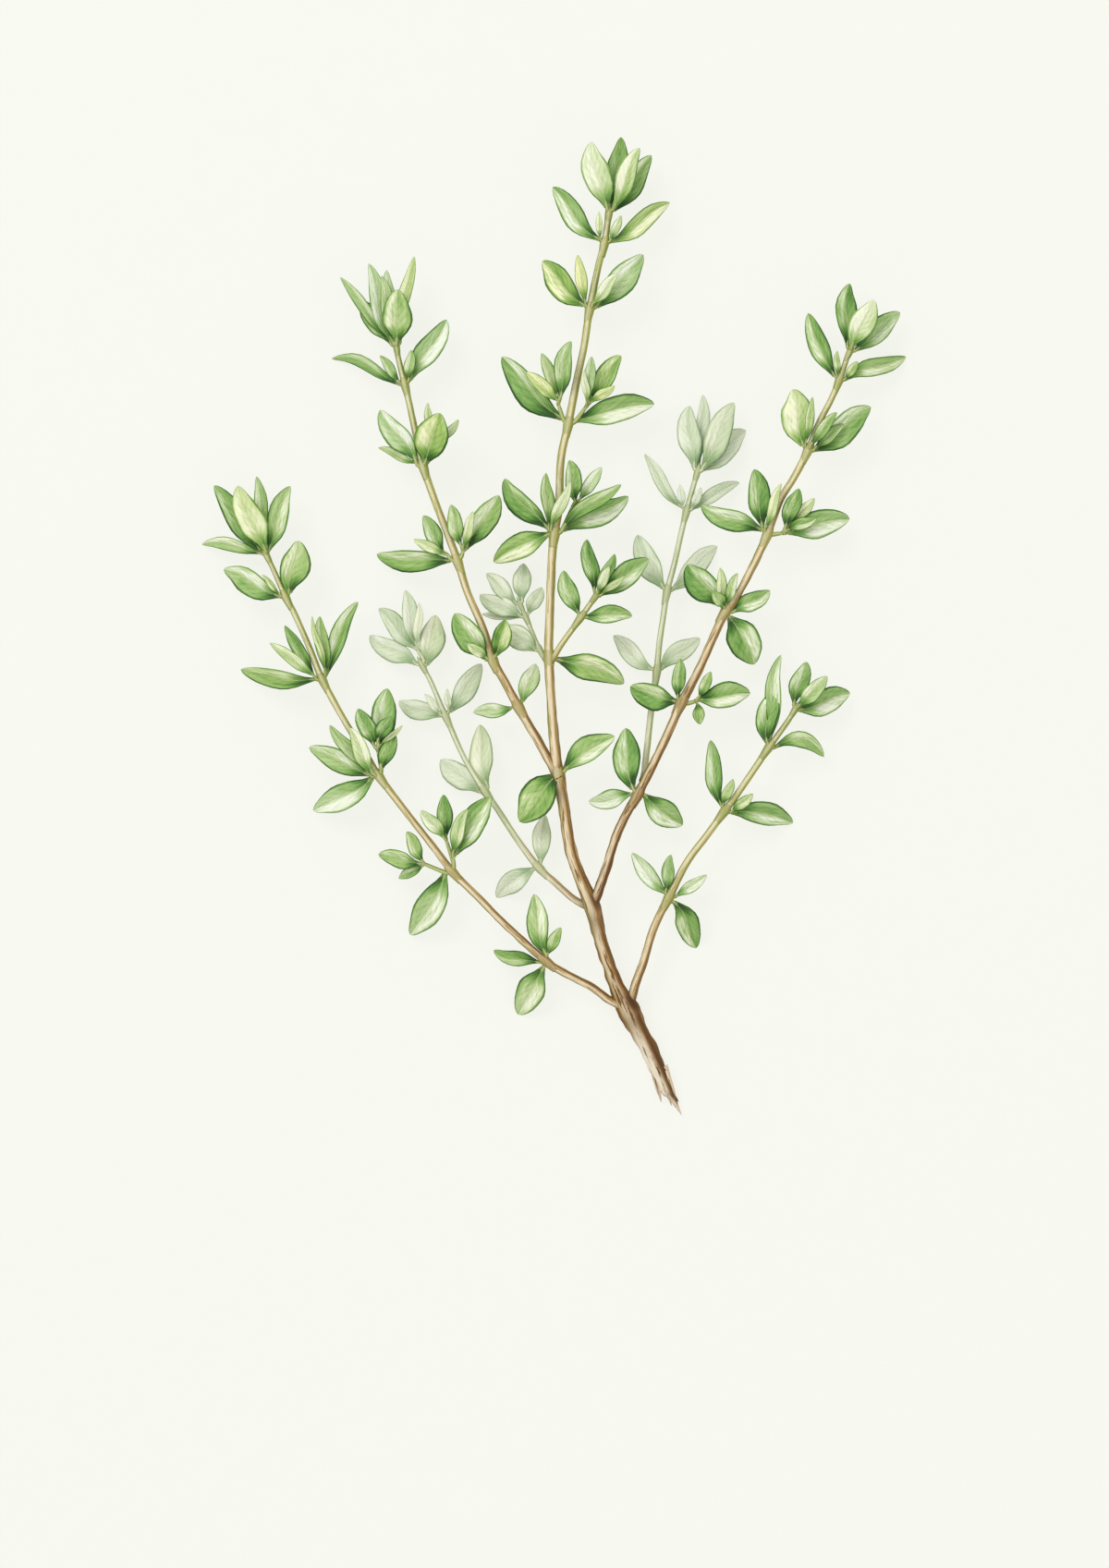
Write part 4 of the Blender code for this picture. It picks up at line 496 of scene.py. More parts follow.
def make_active(obj):
    deselect_all()
    obj.select_set(True)
    bpy.context.view_layer.objects.active = obj


def select_points(obj, test):
    """In edit mode, select the vertices whose place passes the test."""
    points = bmesh.from_edit_mesh(obj.data)
    for vert in points.verts:
        vert.select_set(test(vert.co))
    points.select_flush_mode()
    bmesh.update_edit_mesh(obj.data)


def join(pieces, name):
    deselect_all()
    for piece in pieces:
        piece.select_set(True)
    bpy.context.view_layer.objects.active = pieces[0]
    if len(pieces) > 1:
        bpy.ops.object.join()
    pieces[0].name = name
    pieces[0].data.name = name
    return pieces[0]


def smooth_route(points, step):
    """Points at an even spacing on a smooth curve through the given rows of numbers."""
    rows = np.array(points, dtype=float)
    rows = np.vstack([2 * rows[0] - rows[1], rows, 2 * rows[-1] - rows[-2]])
    found = []
    for a, b, c, d in zip(rows, rows[1:], rows[2:], rows[3:]):
        count = max(2, int(np.linalg.norm((c - b)[:3]) / step))
        for t in np.arange(count) / count:
            found.append(0.5 * (2 * b + (c - a) * t + (2 * a - 5 * b + 4 * c - d) * t**2
                                + (3 * b - a - 3 * c + d) * t**3))
    found.append(rows[-2])
    return np.array(found)


def set_attribute(mesh, name, values):
    """Store a vector for each point of the mesh, for its material to read."""
    attribute = mesh.attributes.get(name) or mesh.attributes.new(name, "FLOAT_VECTOR", "POINT")
    values = np.broadcast_to(np.asarray(values, dtype=np.float32), (len(mesh.vertices), 3))
    attribute.data.foreach_set("vector", np.ascontiguousarray(values).ravel())


def coordinates(mesh):
    flat = np.empty(len(mesh.vertices) * 3, dtype=np.float32)
    mesh.vertices.foreach_get("co", flat)
    return flat.reshape(-1, 3).astype(float)


def set_coordinates(mesh, places):
    mesh.vertices.foreach_set("co", places.astype(np.float32).ravel())
    mesh.update()


def rods(name, strands, sides):
    """One mesh of round rods with closed ends. A strand is rows of x, y, z and radius."""
    curve = bpy.data.curves.new(name, "CURVE")
    curve.dimensions = "3D"
    curve.bevel_depth = 1.0
    curve.bevel_resolution = (sides - 4) // 2
    curve.use_fill_caps = True
    for strand in strands:
        spline = curve.splines.new("POLY")
        spline.points.add(len(strand) - 1)
        for point, row in zip(spline.points, strand):
            point.co = (*row[:3], 1.0)
            point.radius = max(row[3], 0.01)
    rod = bpy.data.objects.new(name, curve)
    bpy.context.collection.objects.link(rod)
    make_active(rod)
    bpy.ops.object.convert(target="MESH")
    bpy.ops.object.mode_set(mode="EDIT")
    bpy.ops.mesh.select_all(action="SELECT")
    bpy.ops.mesh.remove_doubles(threshold=0.001)
    bpy.ops.mesh.normals_make_consistent(inside=False)
    bpy.ops.object.mode_set(mode="OBJECT")
    return rod


def run_along(route):
    """Millimetres from the start of a route to each of its points."""
    steps = np.linalg.norm(np.diff(route[:, :3], axis=0), axis=1)
    return np.concatenate([[0], np.cumsum(steps)])


def grain_of(places, route):
    """For points on a rod: cosine and sine of the angle round it, millimetres along it, the
    direction out of it and the nearest point of its route."""
    centres = route[:, :3]
    along = np.gradient(centres, axis=0)
    along /= np.linalg.norm(along, axis=1)[:, None]
    gap = places[:, None, :] - centres[None, :, :]
    nearest = np.argmin((gap**2).sum(axis=2), axis=1)
    out = places - centres[nearest]
    direction = along[nearest]
    out -= direction * (out * direction).sum(axis=1)[:, None]
    side = np.cross(direction, (0, 0, 1))
    side /= np.linalg.norm(side, axis=1)[:, None] + 1e-9
    top = np.cross(side, direction)
    size = np.linalg.norm(out, axis=1) + 1e-9
    turn = np.stack([(out * side).sum(axis=1) / size, (out * top).sum(axis=1) / size], axis=1)
    return turn, run_along(route)[nearest], out / size[:, None], nearest


def clothe(piece, material):
    """Give a piece its only material, and smooth shading."""
    piece.data.materials.clear()
    piece.data.materials.append(material)
    piece.data.shade_smooth()


def clothe_rod(rod, turn, along, look, material):
    set_attribute(rod.data, "grain", np.column_stack([turn, along]))
    set_attribute(rod.data, "look", look)
    clothe(rod, material)


# ---------------------------------------------------------------- materials

class Nodes:
    """The nodes of one material, with short names for the sums that its colours are made of."""

    def __init__(self, name, roughness, specular):
        self.material = bpy.data.materials.new(name)
        self.material.use_nodes = True
        self.tree = self.material.node_tree
        self.shader = self.tree.nodes["Principled BSDF"]
        self.shader.inputs["Roughness"].default_value = roughness
        self.shader.inputs["Specular IOR Level"].default_value = specular

    def node(self, kind, settings, inputs):
        made = self.tree.nodes.new(kind)
        for key, value in settings.items():
            setattr(made, key, value)
        for key, value in inputs.items():
            if isinstance(value, bpy.types.NodeSocket):
                self.tree.links.new(value, made.inputs[key])
            else:
                made.inputs[key].default_value = value
        return made

    def maths(self, operation, *values):
        return self.node("ShaderNodeMath", {"operation": operation}, dict(enumerate(values))).outputs[0]

    def times(self, first, second):
        return self.maths("MULTIPLY", first, second)

    def times_add(self, first, second, third):
        return self.maths("MULTIPLY_ADD", first, second, third)

    def add(self, value, amount, pattern, middle):
        """The value plus a share of a pattern, which varies to both sides of its middle."""
        return self.times_add(self.maths("SUBTRACT", pattern, middle), amount, value)

    def ease(self, value, low, high, start=0.0, end=1.0):
        """A smooth step of the value from one number to another."""
        inputs = {"Value": value, "From Min": low, "From Max": high, "To Min": start, "To Max": end}
        return self.node("ShaderNodeMapRange", {"interpolation_type": "SMOOTHSTEP"}, inputs).outputs[0]

    def blend(self, factor, first, second, kind="MIX"):
        """Two colours, mixed. A colour is three numbers or a socket."""
        first, second = [(*each, 1.0) if isinstance(each, tuple) else each for each in (first, second)]
        settings = {"data_type": "RGBA", "blend_type": kind}
        return self.node("ShaderNodeMix", settings, {0: factor, 6: first, 7: second}).outputs[2]

    def ramp(self, value, stops):
        made = self.node("ShaderNodeValToRGB", {}, {0: value})
        points = made.color_ramp.elements
        while len(points) < len(stops):
            points.new(0.5)
        for point, (place, colour) in zip(points, stops):
            point.position = place
            point.color = (*colour, 1.0)
        return made.outputs[0]

    def clouds(self, vector, scale, detail=3.0, roughness=0.55):
        inputs = {"Vector": vector, "Scale": scale, "Detail": detail, "Roughness": roughness}
        return self.node("ShaderNodeTexNoise", {}, inputs).outputs[0]

    def place(self):
        return self.node("ShaderNodeTexCoord", {}, {}).outputs["Object"]

    def vector(self, x, y, z):
        return self.node("ShaderNodeCombineXYZ", {}, {0: x, 1: y, 2: z}).outputs[0]

    def stored(self, name):
        """The three numbers of a stored vector."""
        read = self.node("ShaderNodeAttribute", {"attribute_name": name}, {})
        return self.node("ShaderNodeSeparateXYZ", {}, {0: read.outputs["Vector"]}).outputs[:3]

    def along_grain(self, across, along):
        """How far to the side a place on a rod's skin faces, and such places drawn out along the rod."""
        turn_x, turn_y, run = self.stored("grain")
        return turn_x, self.vector(self.times(turn_x, across), self.times(turn_y, across),
                                   self.times(run, along))

    def finish(self, colour, height, strength, distance, roughness):
        bump = self.node("ShaderNodeBump", {}, {"Strength": strength, "Distance": distance, "Height": height})
        for source, target in ((colour, "Base Color"), (roughness, "Roughness"), (bump.outputs[0], "Normal")):
            self.tree.links.new(source, self.shader.inputs[target])
        return self.material


def leaf_material(name, stops, rib, underside, margin_depth):
    """A leaf: painted light and shade on its two halves, a painted highlight on the lit half, painted shade
    at its foot, a darker margin, pale midrib and faint side veins.
    """
    nodes = Nodes(name, 0.6, 0.22)
    along, across, under = nodes.stored("blade")
    tone, lean, youth = nodes.stored("look")
    place = nodes.place()
    off_rib = nodes.maths("ABSOLUTE", across)

    # Painted light and shade: one half of each leaf is lighter and the other darker, as on a fold lit from
    # one side.
    half_light_and_shade = nodes.times(nodes.ease(across, -0.10, 0.10, -1.0, 1.0), lean)
    spot = nodes.stored("spot")[0]
    spread = nodes.vector(nodes.times(along, 2.2), nodes.times(across, 1.5), spot)
    rising = nodes.times_add(off_rib, -1.4, nodes.times(along, 3.4))
    drawn = nodes.vector(rising, nodes.times(across, 4.6), spot)
    wash = nodes.clouds(spread, 1.0, 2.0)
    pools = nodes.clouds(drawn, 1.0, 4.0, 0.6)
    mottle = nodes.clouds(place, 2600.0, 2.0)
    value = nodes.times_add(half_light_and_shade, 0.16, nodes.maths("ADD", tone, 0.08))
    for pattern, middle, amount in ((wash, 0.46, 0.60), (pools, 0.5, 0.50), (mottle, 0.5, 0.12)):
        value = nodes.add(value, amount, pattern, middle)
    # Painted shade: each leaf darkens towards its foot, in the crowded middle of its whorl.
    value = nodes.maths("SUBTRACT", value, nodes.ease(along, 0.40, 0.06, 0.0, 0.52))
    # A painted highlight: a pale patch in the middle of the lit half of the leaf.
    painted_highlight = nodes.ease(off_rib, 0.14, 0.24)
    for source, low, high in ((off_rib, 0.80, 0.70), (along, 0.24, 0.36), (along, 0.94, 0.82),
                              (pools, 0.34, 0.62), (half_light_and_shade, 0.0, 0.8)):
        painted_highlight = nodes.times(painted_highlight, nodes.ease(source, low, high))
    value = nodes.times_add(painted_highlight, 0.22, value)
    value = nodes.maths("SUBTRACT", value, nodes.ease(off_rib, 0.80, 0.94, 0.0, margin_depth))

    slant = nodes.times_add(off_rib, -0.32, along)
    veins = nodes.maths("SINE", nodes.times(slant, 44.0))
    veins = nodes.times(nodes.ease(veins, 0.75, 1.0), nodes.ease(off_rib, 0.95, 0.5))
    value = nodes.times_add(veins, -0.07, value)

    colour = nodes.ramp(value, stops)
    warm = nodes.blend(1.0, colour, (1.10, 1.02, 0.62), "MULTIPLY")
    colour = nodes.blend(youth, colour, warm)
    line = nodes.times(nodes.ease(off_rib, 0.10, 0.03), nodes.ease(along, 0.95, 0.3))
    colour = nodes.blend(nodes.times(line, 0.55), colour, rib)
    foot = nodes.ease(along, 0.08, 0.0, 0.0, 0.45)
    colour = nodes.blend(foot, colour, rib)
    below = nodes.blend(nodes.ease(wash, 0.3, 0.7), underside, tuple(0.7 * part for part in underside))
    colour = nodes.blend(nodes.ease(under, 0.4, 0.6), colour, below)

    groove = nodes.ease(off_rib, 0.0, 0.12)
    height = nodes.times_add(veins, -0.35, groove)
    pits = nodes.clouds(place, 5200.0, 2.0)
    height = nodes.times_add(pits, 0.35, height)
    roughness = nodes.ease(mottle, 0.3, 0.7, 0.52, 0.68)
    return nodes.finish(colour, height, 0.55, 0.12 * MM, roughness)


def bark_material(name, stops, cream_and_highlight, groove):
    """Stem: brown bark that turns tan and green with youth, streaked along its length; its cream streaks
    double as a painted highlight down one side, and painted shade darkens the other side, the far rim and the
    creases.
    """
    nodes = Nodes(name, 0.7, 0.25)
    turn_x, stretched = nodes.along_grain(1.7, 0.20)
    age, shade, bare = nodes.stored("look")
    fibres = nodes.clouds(stretched, 1.5, 5.0, 0.68)
    patches = nodes.clouds(stretched, 0.8, 2.0)
    colour = nodes.ramp(nodes.add(age, 0.62, patches, 0.5), stops)
    # Cream streaks, laid only in a band left of each rod's centre line: partly the bark's own streaks, partly
    # a painted highlight.
    highlight_band = nodes.times(nodes.ease(turn_x, -0.90, -0.55), nodes.ease(turn_x, 0.45, -0.10))
    pale = nodes.times(highlight_band, nodes.ease(fibres, 0.38, 0.52))
    colour = nodes.blend(nodes.times(pale, 0.72), colour, cream_and_highlight)
    olive = nodes.times(nodes.ease(turn_x, -0.30, -0.80), nodes.ease(patches, 0.44, 0.56))
    olive = nodes.times(olive, nodes.ease(age, 0.9, 0.4, 0.3, 0.8))
    colour = nodes.blend(olive, colour, OLIVE)
    # Painted shade: the right side of each rod (seen from its foot) and its outer left rim are darkened, as
    # if lit from the upper left; dark grooves among the fibres darken it as well.
    right = nodes.times(nodes.ease(turn_x, 0.05, 0.62), nodes.ease(fibres, 0.72, 0.46))
    left = nodes.ease(turn_x, -0.76, -0.94, 0.0, 0.8)
    groove_and_shade = nodes.times(nodes.ease(fibres, 0.46, 0.38), nodes.ease(age, 0.0, 0.8, 0.25, 1.0))
    groove_and_shade = nodes.maths("MAXIMUM", nodes.maths("MAXIMUM", groove_and_shade, right), nodes.maths("MAXIMUM", left, shade))
    edge = nodes.blend(nodes.ease(age, 0.15, 0.55), OLIVE_EDGE, groove)
    colour = nodes.blend(nodes.times(groove_and_shade, 0.9), colour, edge, "MULTIPLY")
    # Painted shade: the creases at the forks, the crotches and the nodes are darkened further.
    crease_shade = nodes.times(nodes.ease(shade, 0.35, 0.95), 0.6)
    colour = nodes.blend(crease_shade, colour, CREASE_SHADE_COLOUR, "MULTIPLY")
    peeled = nodes.times(bare, nodes.ease(fibres, 0.34, 0.46))
    colour = nodes.blend(peeled, colour, PALE_WOOD)
    fine = nodes.clouds(stretched, 9.0, 3.0)
    height = nodes.times_add(fine, 0.5, fibres)
    roughness = nodes.ease(fibres, 0.3, 0.7, 0.8, 0.6)
    return nodes.finish(colour, height, 0.6, 0.15 * MM, roughness)


def wood_material():
    """Bare torn wood: pale, with long fibres."""
    nodes = Nodes("torn_wood", 0.8, 0.2)
    _turn_x, stretched = nodes.along_grain(2.0, 0.3)
    fibres = nodes.clouds(stretched, 4.0, 4.0)
    colour = nodes.ramp(fibres, (
        (0.30, (0.30, 0.17, 0.08)), (0.45, (0.62, 0.47, 0.30)), (0.62, (0.86, 0.77, 0.60))))
    roughness = nodes.ease(fibres, 0.3, 0.7, 0.85, 0.7)
    return nodes.finish(colour, fibres, 0.6, 0.12 * MM, roughness)


def floor_material():
    nodes = Nodes("matt_paper_white", 0.9, 0.1)
    place = nodes.place()
    tooth = nodes.clouds(place, 300.0, 4.0)
    colour = nodes.ramp(tooth, ((0.3, FLOOR_COLOUR), (0.7, tuple(part * 1.012 for part in FLOOR_COLOUR))))
    nodes.shader.inputs["Emission Color"].default_value = (*FLOOR_GLOW, 1.0)
    nodes.shader.inputs["Emission Strength"].default_value = 1.0
    roughness = nodes.ease(tooth, 0.3, 0.7, 0.92, 0.85)
    return nodes.finish(colour, tooth, 0.1, 0.2 * MM, roughness)


# ---------------------------------------------------------------- the leaf

def model_leaf():
    """One thyme leaf, laid along X: a grid shaped row by row and station by station."""
    deselect_all()
    columns = len(BLADE_STATIONS) - 1
    rows = len(BLADE_ROWS) - 1
    bpy.ops.mesh.primitive_grid_add(x_subdivisions=columns, y_subdivisions=rows, size=2.0)
    leaf = bpy.context.active_object
    bpy.ops.object.mode_set(mode="EDIT")
    for row, height in enumerate(BLADE_ROWS):
        level = -1 + 2 * row / rows
        select_points(leaf, lambda co: abs(co.y - level) < 0.01)
        bpy.ops.transform.translate(value=(0, 0, height))
    for column in reversed(range(columns + 1)):
        place, width = BLADE_STATIONS[column]
        level = -1 + 2 * column / columns
        select_points(leaf, lambda co: abs(co.x - level) < 0.01)
        bpy.ops.transform.resize(value=(1, width, max(width, 0.35)), center_override=(level, 0, 0))
        bpy.ops.transform.translate(value=(place + 10 - level, 0, 0))
    bpy.ops.mesh.select_all(action="SELECT")
    bpy.ops.transform.translate(value=(-10, 0, 0))
    size = (BLADE_LENGTH, BLADE_HALF_WIDTH, 1)
    bpy.ops.transform.resize(value=size, center_override=(0, 0, 0))
    bpy.ops.object.mode_set(mode="OBJECT")
    solid = leaf.modifiers.new("thickness", "SOLIDIFY")
    solid.thickness = BLADE_THICKNESS
    solid.offset = -1.0
    bpy.ops.object.modifier_apply(modifier=solid.name)
    leaf.data.shade_smooth()
    places = coordinates(leaf.data)
    half = len(places) // 2
    under = (np.arange(len(places)) >= half).astype(float)
    along = places[:, 0] / BLADE_LENGTH
    widths = np.interp(along, *zip(*BLADE_STATIONS))
    across = places[:, 1] / BLADE_HALF_WIDTH / widths
    set_attribute(leaf.data, "blade", np.stack([along, across, under], axis=1))
    return leaf


def leaf_number(leaf):
    """A number of a leaf's own, from the place of its tip."""
    return leaf.tip[0] * 1.3 + leaf.tip[1] * 0.7


def leaf_frame(leaf, along):
    """Centres and the side and top directions at places on one leaf's midrib."""
    foot = np.array(leaf.foot, dtype=float)
    reach = np.array(leaf.tip, dtype=float) - foot
    length = np.linalg.norm(reach)
    flat = np.array([-reach[1], reach[0], 0.0])
    flat /= np.linalg.norm(flat)
    lift = (np.array([0, 0, LEAF_ARCH]) + flat * (leaf.bow / 100)) * length
    sway = flat * LEAF_SWAY * math.sin(leaf_number(leaf)) * length
    t = np.clip(along, 0, 1)[:, None]
    centre = foot + reach * t + lift * 4 * t * (1 - t) + sway * np.sin(2 * math.pi * t)
    forward = reach + lift * 4 * (1 - 2 * t) + sway * 2 * math.pi * np.cos(2 * math.pi * t)
    forward /= np.linalg.norm(forward, axis=1)[:, None]
    side = np.stack([-forward[:, 1], forward[:, 0], np.zeros(len(forward))], axis=1)
    side /= np.linalg.norm(side, axis=1)[:, None]
    top = np.cross(forward, side)
    turn = math.radians(leaf.roll)
    side, top = side * math.cos(turn) + top * math.sin(turn), top * math.cos(turn) - side * math.sin(turn)
    return centre, side, top


def lay_leaf(master, leaf, seed):
    """A copy of the modelled leaf, folded along its midrib and bent to its place on the sprig."""
    width, fold = leaf.width, math.radians(leaf.fold)
    mesh = master.data.copy()
    places = coordinates(mesh)
    along = places[:, 0] / BLADE_LENGTH
    centre, side, top = leaf_frame(leaf, along)
    half = places[:, 1] / BLADE_HALF_WIDTH * width / 2 * FULLNESS / math.cos(fold)
    angle = fold * (1.1 - 0.45 * along)
    rise = np.sqrt(half**2 + RIB_ROUNDING**2) - RIB_ROUNDING
    uneven = 1 + 0.10 * math.sin(seed * 2.3)
    half *= np.where(half > 0, uneven, 2 - uneven) * (1 + 0.03 * np.sin(along * 13 + seed))
    wave = 0.05 * width / 2.5 * np.sin(along * 9 + seed * 1.7 + (half > 0) * 1.3) * np.abs(half)
    height = rise * np.sin(angle) + places[:, 2] + wave
    spot = centre + side * (half * np.cos(angle))[:, None] + top * height[:, None]
    spot[:, 2] = np.maximum(spot[:, 2], LOWEST)
    set_coordinates(mesh, spot)
    set_attribute(mesh, "look", np.array((leaf.tone, leaf.lean, leaf.youth)) / 100)
    set_attribute(mesh, "spot", (seed * 3.7 + leaf_number(leaf), 0, 0))
    laid = bpy.data.objects.new("leaf", mesh)
    bpy.context.collection.objects.link(laid)
    return laid


# ---------------------------------------------------------------- stems

def stem_route(name):
    """The smooth course of a stem, with its diameter a little under that of the plain rod."""
    route = smooth_route(STEMS[name], ROUTE_STEP)
    slim = PALE_SLIMNESS if name in PALE_STEMS else SLIMNESS
    route[:, 3] *= np.interp(route[:, 1], (TRUNK_TOP - 3, TRUNK_TOP + 3), (TRUNK_SLIMNESS, slim))
    return route


def stem_age(name, run, length):
    return np.interp(run / length, (0, 0.5, 1), AGES[name])


def grow_stem(name, materials):
    """A stem with ridged bark. The trunk swells at its forks, and its cut end is torn."""
    route = stem_route(name)
    run = run_along(route)
    radii = route[:, 3] / 2
    is_trunk = name == "main_stem"
    if is_trunk:
        for fork in FORKS:
            radii *= 1 + FORK_SWELL * np.exp(-((route[:, 1] - fork) / SWELL_REACH)**2)
    else:
        radii *= 1 + FLARE * np.exp(-run / SWELL_REACH)
    strand = np.column_stack([route[:, :3], radii])
    stem = rods(name + "_rod", [strand], STEM_SIDES)
    places = coordinates(stem.data)
    turn, along, out, nearest = grain_of(places, route)
    age = stem_age(name, along, run[-1])
    angle = np.arctan2(turn[:, 1], turn[:, 0])
    ridges = np.sin(angle * 5 + along * 0.35) * 0.6 + np.sin(angle * 3 - along * 0.21 + 1.0)
    rough = np.array([noise.noise(Vector((x * 1.1, y * 1.1, a * 0.9))) + noise.noise(Vector((x, y, a * 0.3)))
                      for x, y, a in np.column_stack([turn, along])])
    relief = radii[nearest] * (RIDGE_DEPTH * ridges + BARK_DEPTH * rough) * np.clip(age * 1.3, 0.2, 1)
    places += out * relief[:, None]
    if is_trunk:
        places = tear_end(places, angle, along, route)
        shade, bare = trunk_marks(places[:, 1], turn[:, 0], along)
    else:
        # painted shade in the crotch, where the branch leaves its parent
        shade = 0.85 * np.clip(1.3 - along / 1.7, 0, 1)
        bare = np.zeros(len(along))
    places[:, 2] = np.maximum(places[:, 2], LOWEST)
    set_coordinates(stem.data, places)
    skin = materials["pale_stem" if name in PALE_STEMS else "stem"]
    clothe_rod(stem, turn, along, np.column_stack([age, shade, bare]), skin)
    splinters = torn_end(materials) if is_trunk else []
    finish_piece(join([stem, *splinters], name + "_finished"), name)


def trunk_marks(level, sideways, along):
    """How much painted shade darkens the creases at the forks and the trunk just below them, and how bare the
    bark is beside the cut end.
    """
    shade = np.zeros(len(along))
    for fork in FORKS:
        above = level - fork
        beside = np.clip(sideways * 1.2 + 0.5, 0, 1)
        shade = np.maximum(shade, 0.95 * beside * np.exp(-((above - 0.7) / 1.4)**2))
        shade = np.maximum(shade, 0.55 * np.exp(-((above + 1.6) / 1.7)**2))
    bare = np.clip((8 - along) / 4, 0, 1) * np.clip(-sideways * 3 - 0.6, 0, 1)
    return shade, bare


def tear_end(places, angle, along, route):
    """Draw the cut end out into a slanting, jagged edge, longest on its right side."""
    jag = 0.15 + 1.5 * np.clip(np.cos(angle - 0.35), 0, 1)**2 + 0.45 * np.sin(angle * 5 + 1.0)
    reach = np.clip(1 - along / TEAR_LENGTH, 0, 1)
    back = route[0, :3] - route[3, :3]
    back /= np.linalg.norm(back)
    centres = places - route[0, :3]
    centres -= back * (centres @ back)[:, None]
    places = places - centres * (0.34 * reach**1.5)[:, None]
    return places + back * (jag * reach**2)[:, None]


def torn_end(materials):
    """Splinters of bare wood and strips of bark that stand out of the cut end."""
    made = []
    for number, (points, stuff) in enumerate(SPLINTERS):
        route = smooth_route(points, SPLINTER_STEP)
        strand = np.column_stack([route[:, :3], route[:, 3] / 2])
        splinter = rods("splinter", [strand], STALK_SIDES)
        places = coordinates(splinter.data)
        turn, along, out, nearest = grain_of(places, route)
        angle = np.arctan2(turn[:, 1], turn[:, 0])
        places += out * (0.25 * route[nearest, 3] / 2 * np.sin(3 * angle + number))[:, None]
        places[:, 2] = np.maximum(places[:, 2], LOWEST)
        set_coordinates(splinter.data, places)
        clothe_rod(splinter, turn, along + number * 7, (0.85, 0.0, 0.0), materials[stuff])
        made.append(splinter)
    return made


# ---------------------------------------------------------------- whorls

def leaving_point(node, along, radius, foot):
    """Where a stalk leaves its node: straight out from the stem, towards the leaf's foot."""
    reach = foot - node
    out = reach - along * reach.dot(along)
    distance = radius + STALK_GAP
    if reach.length < distance + 0.3 or out.length < 0.05:
        return node.lerp(foot, 0.6)
    return node + out.normalized() * distance + along * math.copysign(STALK_RISE, reach.dot(along))


def stalk_strand(start, leave, leaf):
    """A stalk from its node to the leaf's foot, going on as the rib under the blade."""
    size = min(STALK_RADIUS, 0.08 + 0.06 * leaf.width)
    bend = smooth_route([(*start, size * 1.15), (*leave, size), (*leaf.foot, size * 0.85)], STALK_STEP)
    stations, shares = np.array(RIB_STATIONS).T
    centre, _side, top = leaf_frame(leaf, stations)
    sizes = shares * size
    drop = BLADE_THICKNESS * 0.5 + 0.09 + sizes * 0.3
    rib = np.column_stack([centre - top * drop[:, None], sizes])
    strand = np.vstack([bend, rib])
    strand[:, 2] = np.maximum(strand[:, 2], strand[:, 3] + LOWEST)
    return strand


def grow_whorl(name, stem, number, master, materials):
    """The leaves of one node with their stalks, side shoots and the swollen ring of the node."""
    route = stem_route(stem)
    node_xy, shoots, leaves = WHORLS[stem][number]
    spot = int(np.argmin(((route[:, :2] - node_xy)**2).sum(axis=1)))
    node = Vector(route[spot, :3])
    radius = route[spot, 3] / 2
    step = Vector(route[min(spot + 1, len(route) - 1), :3]) - Vector(route[spot - 1, :3])
    along = step.normalized()
    is_tip = number == len(WHORLS[stem]) - 1
    pale = stem in PALE_STEMS

    strands = []
    starts = [node]
    grown = []
    for shoot in shoots:
        shoot = Vector(shoot)
        leave = leaving_point(node, along, radius, shoot)
        strands.append(smooth_route([(*node, SHOOT_RADIUS), (*leave, SHOOT_RADIUS),
                                     (*shoot, SHOOT_RADIUS * 0.8)], STALK_STEP))
        starts.append(shoot)
    for row in leaves:
        leaf = Leaf(*row)
        foot = Vector(leaf.foot)
        start = starts[leaf.start]
        leave = start.lerp(foot, 0.5) if leaf.start else leaving_point(node, along, radius, foot)
        leaf = leaf._replace(foot=tuple(foot.lerp(leave, FOOT_REACH)))
        grown.append(leaf)
        strands.append(stalk_strand(start, leave, leaf))
    stalks = rods("stalks", strands, STALK_SIDES)
    turn, place, _out, _nearest = grain_of(coordinates(stalks.data), np.vstack(strands))
    skin = materials["pale_stalk" if pale else "stalk"]
    clothe_rod(stalks, turn, place, (0.1 if pale else 0.05, 0.0, 0.0), skin)

    profile = TIP_COLLAR if is_tip else NODE_COLLAR
    ring = [(*(node + along * place), radius + grow) for place, grow in profile]
    ring = smooth_route(ring, COLLAR_STEP)
    ring[:, 3] = np.maximum(ring[:, 3], 0.03)
    collar = rods("collar", [ring], COLLAR_SIDES)
    turn, place, _out, _nearest = grain_of(coordinates(collar.data), ring)
    run = run_along(route)
    age = float(stem_age(stem, run[spot], run[-1]))
    skin = materials["pale_stem" if pale else "stem"]
    clothe_rod(collar, turn, place + run[spot], (age * COLLAR_AGE, COLLAR_SHADE, 0.0), skin)

    parts = [collar, stalks]
    for order, leaf in enumerate(grown):
        laid = lay_leaf(master, leaf, order + number * 3)
        clothe(laid, materials["pale_leaf" if pale else "leaf"])
        parts.append(laid)
    finish_piece(join(parts, name + "_finished"), name)


def whorl_name(stem, number):
    base = stem.removesuffix("_stem")
    if number == len(WHORLS[stem]) - 1:
        return f"{base}_tip_leaves"
    return f"{base}_leaves_{number + 1}"


def finish_piece(piece, node):
    """Move a piece from millimetres in the plan to the frame, and hand it to its CAD node."""
    piece.data.transform(TO_FRAME)
    piece.data.update()
    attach(piece, "root")
    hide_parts(node)


# ---------------------------------------------------------------- the room

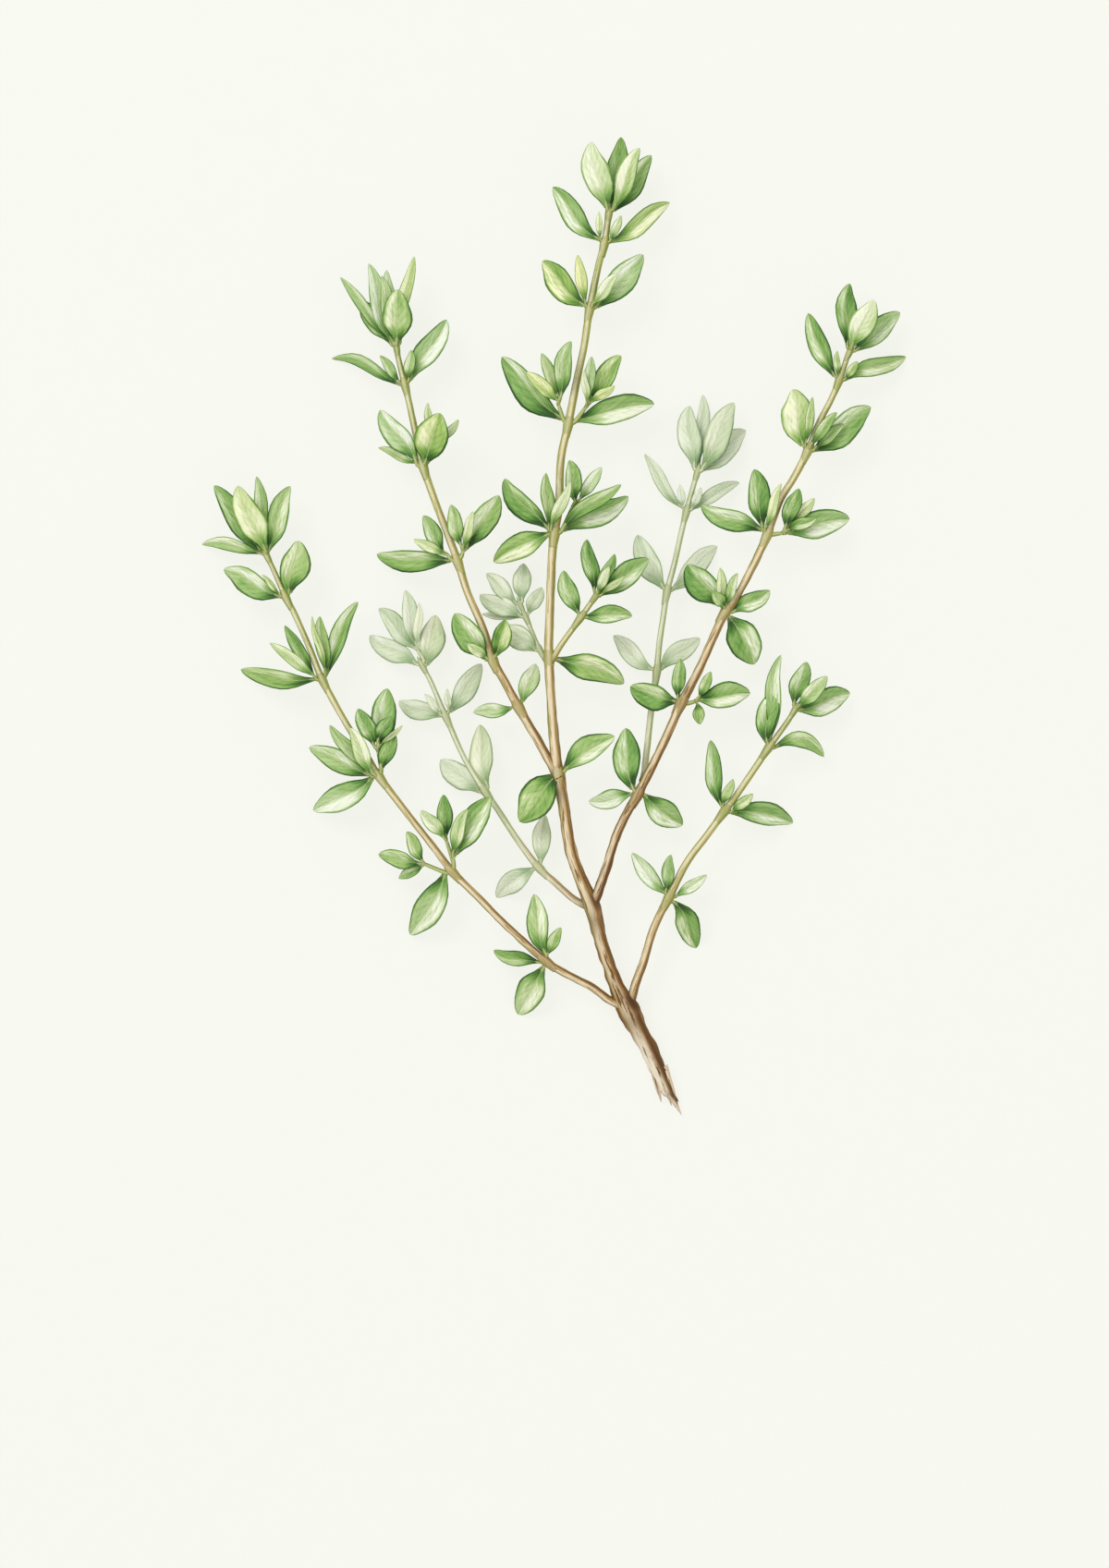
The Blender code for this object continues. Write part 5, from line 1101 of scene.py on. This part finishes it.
def make_stage():
    deselect_all()
    bpy.ops.mesh.primitive_plane_add(size=FLOOR_SIZE, location=(0, 0, 0))
    floor = bpy.context.active_object
    floor.name = "floor"
    floor.data.materials.append(floor_material())
    world = bpy.data.worlds.new("soft_room")
    bpy.context.scene.world = world
    world.use_nodes = True
    background = world.node_tree.nodes["Background"]
    background.inputs["Color"].default_value = (1.0, 1.0, 1.0, 1.0)
    background.inputs["Strength"].default_value = WORLD_STRENGTH
    for name, place, size, watts in LAMPS:
        light = bpy.data.lights.new(name, "AREA")
        light.shape = "DISK"
        light.size = size
        light.energy = watts
        lamp = bpy.data.objects.new(name, light)
        lamp.location = place
        lamp.rotation_mode = "QUATERNION"
        lamp.rotation_quaternion = Vector(place).to_track_quat("Z", "Y")
        bpy.context.collection.objects.link(lamp)


def make_camera():
    """Straight down on the sprig, with the margin of a page round it."""
    view = bpy.data.cameras.new("camera")
    view.lens = LENS
    view.sensor_width = SENSOR_WIDTH
    camera = bpy.data.objects.new("camera", view)
    height = PAGE_HEIGHT * view.lens / view.sensor_width + FOCUS_HEIGHT
    middle = TO_FRAME @ Vector((*PAGE_MIDDLE, 0))
    camera.location = (middle.x, middle.y, height)
    camera.rotation_euler = (0, 0, 0)
    bpy.context.collection.objects.link(camera)
    bpy.context.scene.camera = camera
    bpy.context.scene.view_settings.view_transform = "Standard"


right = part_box("tall_right_leaves_6")[1][0]
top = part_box("main_tip_leaves")[1][1]
TO_FRAME = Matrix.Translation((right - RIGHT_TIP * MM, top - TOP_TIP * MM, 0)) @ Matrix.Scale(MM, 4)

materials = {
    "leaf": leaf_material("thyme_leaf", LEAF_GREENS, rib=(0.50, 0.58, 0.28),
                          underside=(0.36, 0.46, 0.28), margin_depth=0.42),
    "pale_leaf": leaf_material("pale_thyme_leaf", PALE_GREENS, rib=(0.62, 0.70, 0.48),
                               underside=(0.46, 0.54, 0.40), margin_depth=0.38),
    "stem": bark_material("thyme_bark", STEM_BROWNS, cream_and_highlight=(0.92, 0.82, 0.61), groove=(0.29, 0.21, 0.095)),
    "pale_stem": bark_material("pale_thyme_bark", PALE_STEM_BROWNS,
                               cream_and_highlight=(0.86, 0.85, 0.70), groove=(0.60, 0.58, 0.38)),
    "stalk": bark_material("leaf_stalk", STEM_BROWNS, cream_and_highlight=(0.52, 0.62, 0.30), groove=(0.34, 0.46, 0.18)),
    "pale_stalk": bark_material("pale_leaf_stalk", PALE_STEM_BROWNS,
                                cream_and_highlight=(0.74, 0.78, 0.58), groove=(0.52, 0.62, 0.40)),
    "wood": wood_material(),
}
master_leaf = model_leaf()
for stem_name in STEMS:
    grow_stem(stem_name, materials)
for stem_name, whorls in WHORLS.items():
    for whorl_number in range(len(whorls)):
        grow_whorl(whorl_name(stem_name, whorl_number), stem_name, whorl_number, master_leaf, materials)
bpy.data.objects.remove(master_leaf)
make_stage()
make_camera()
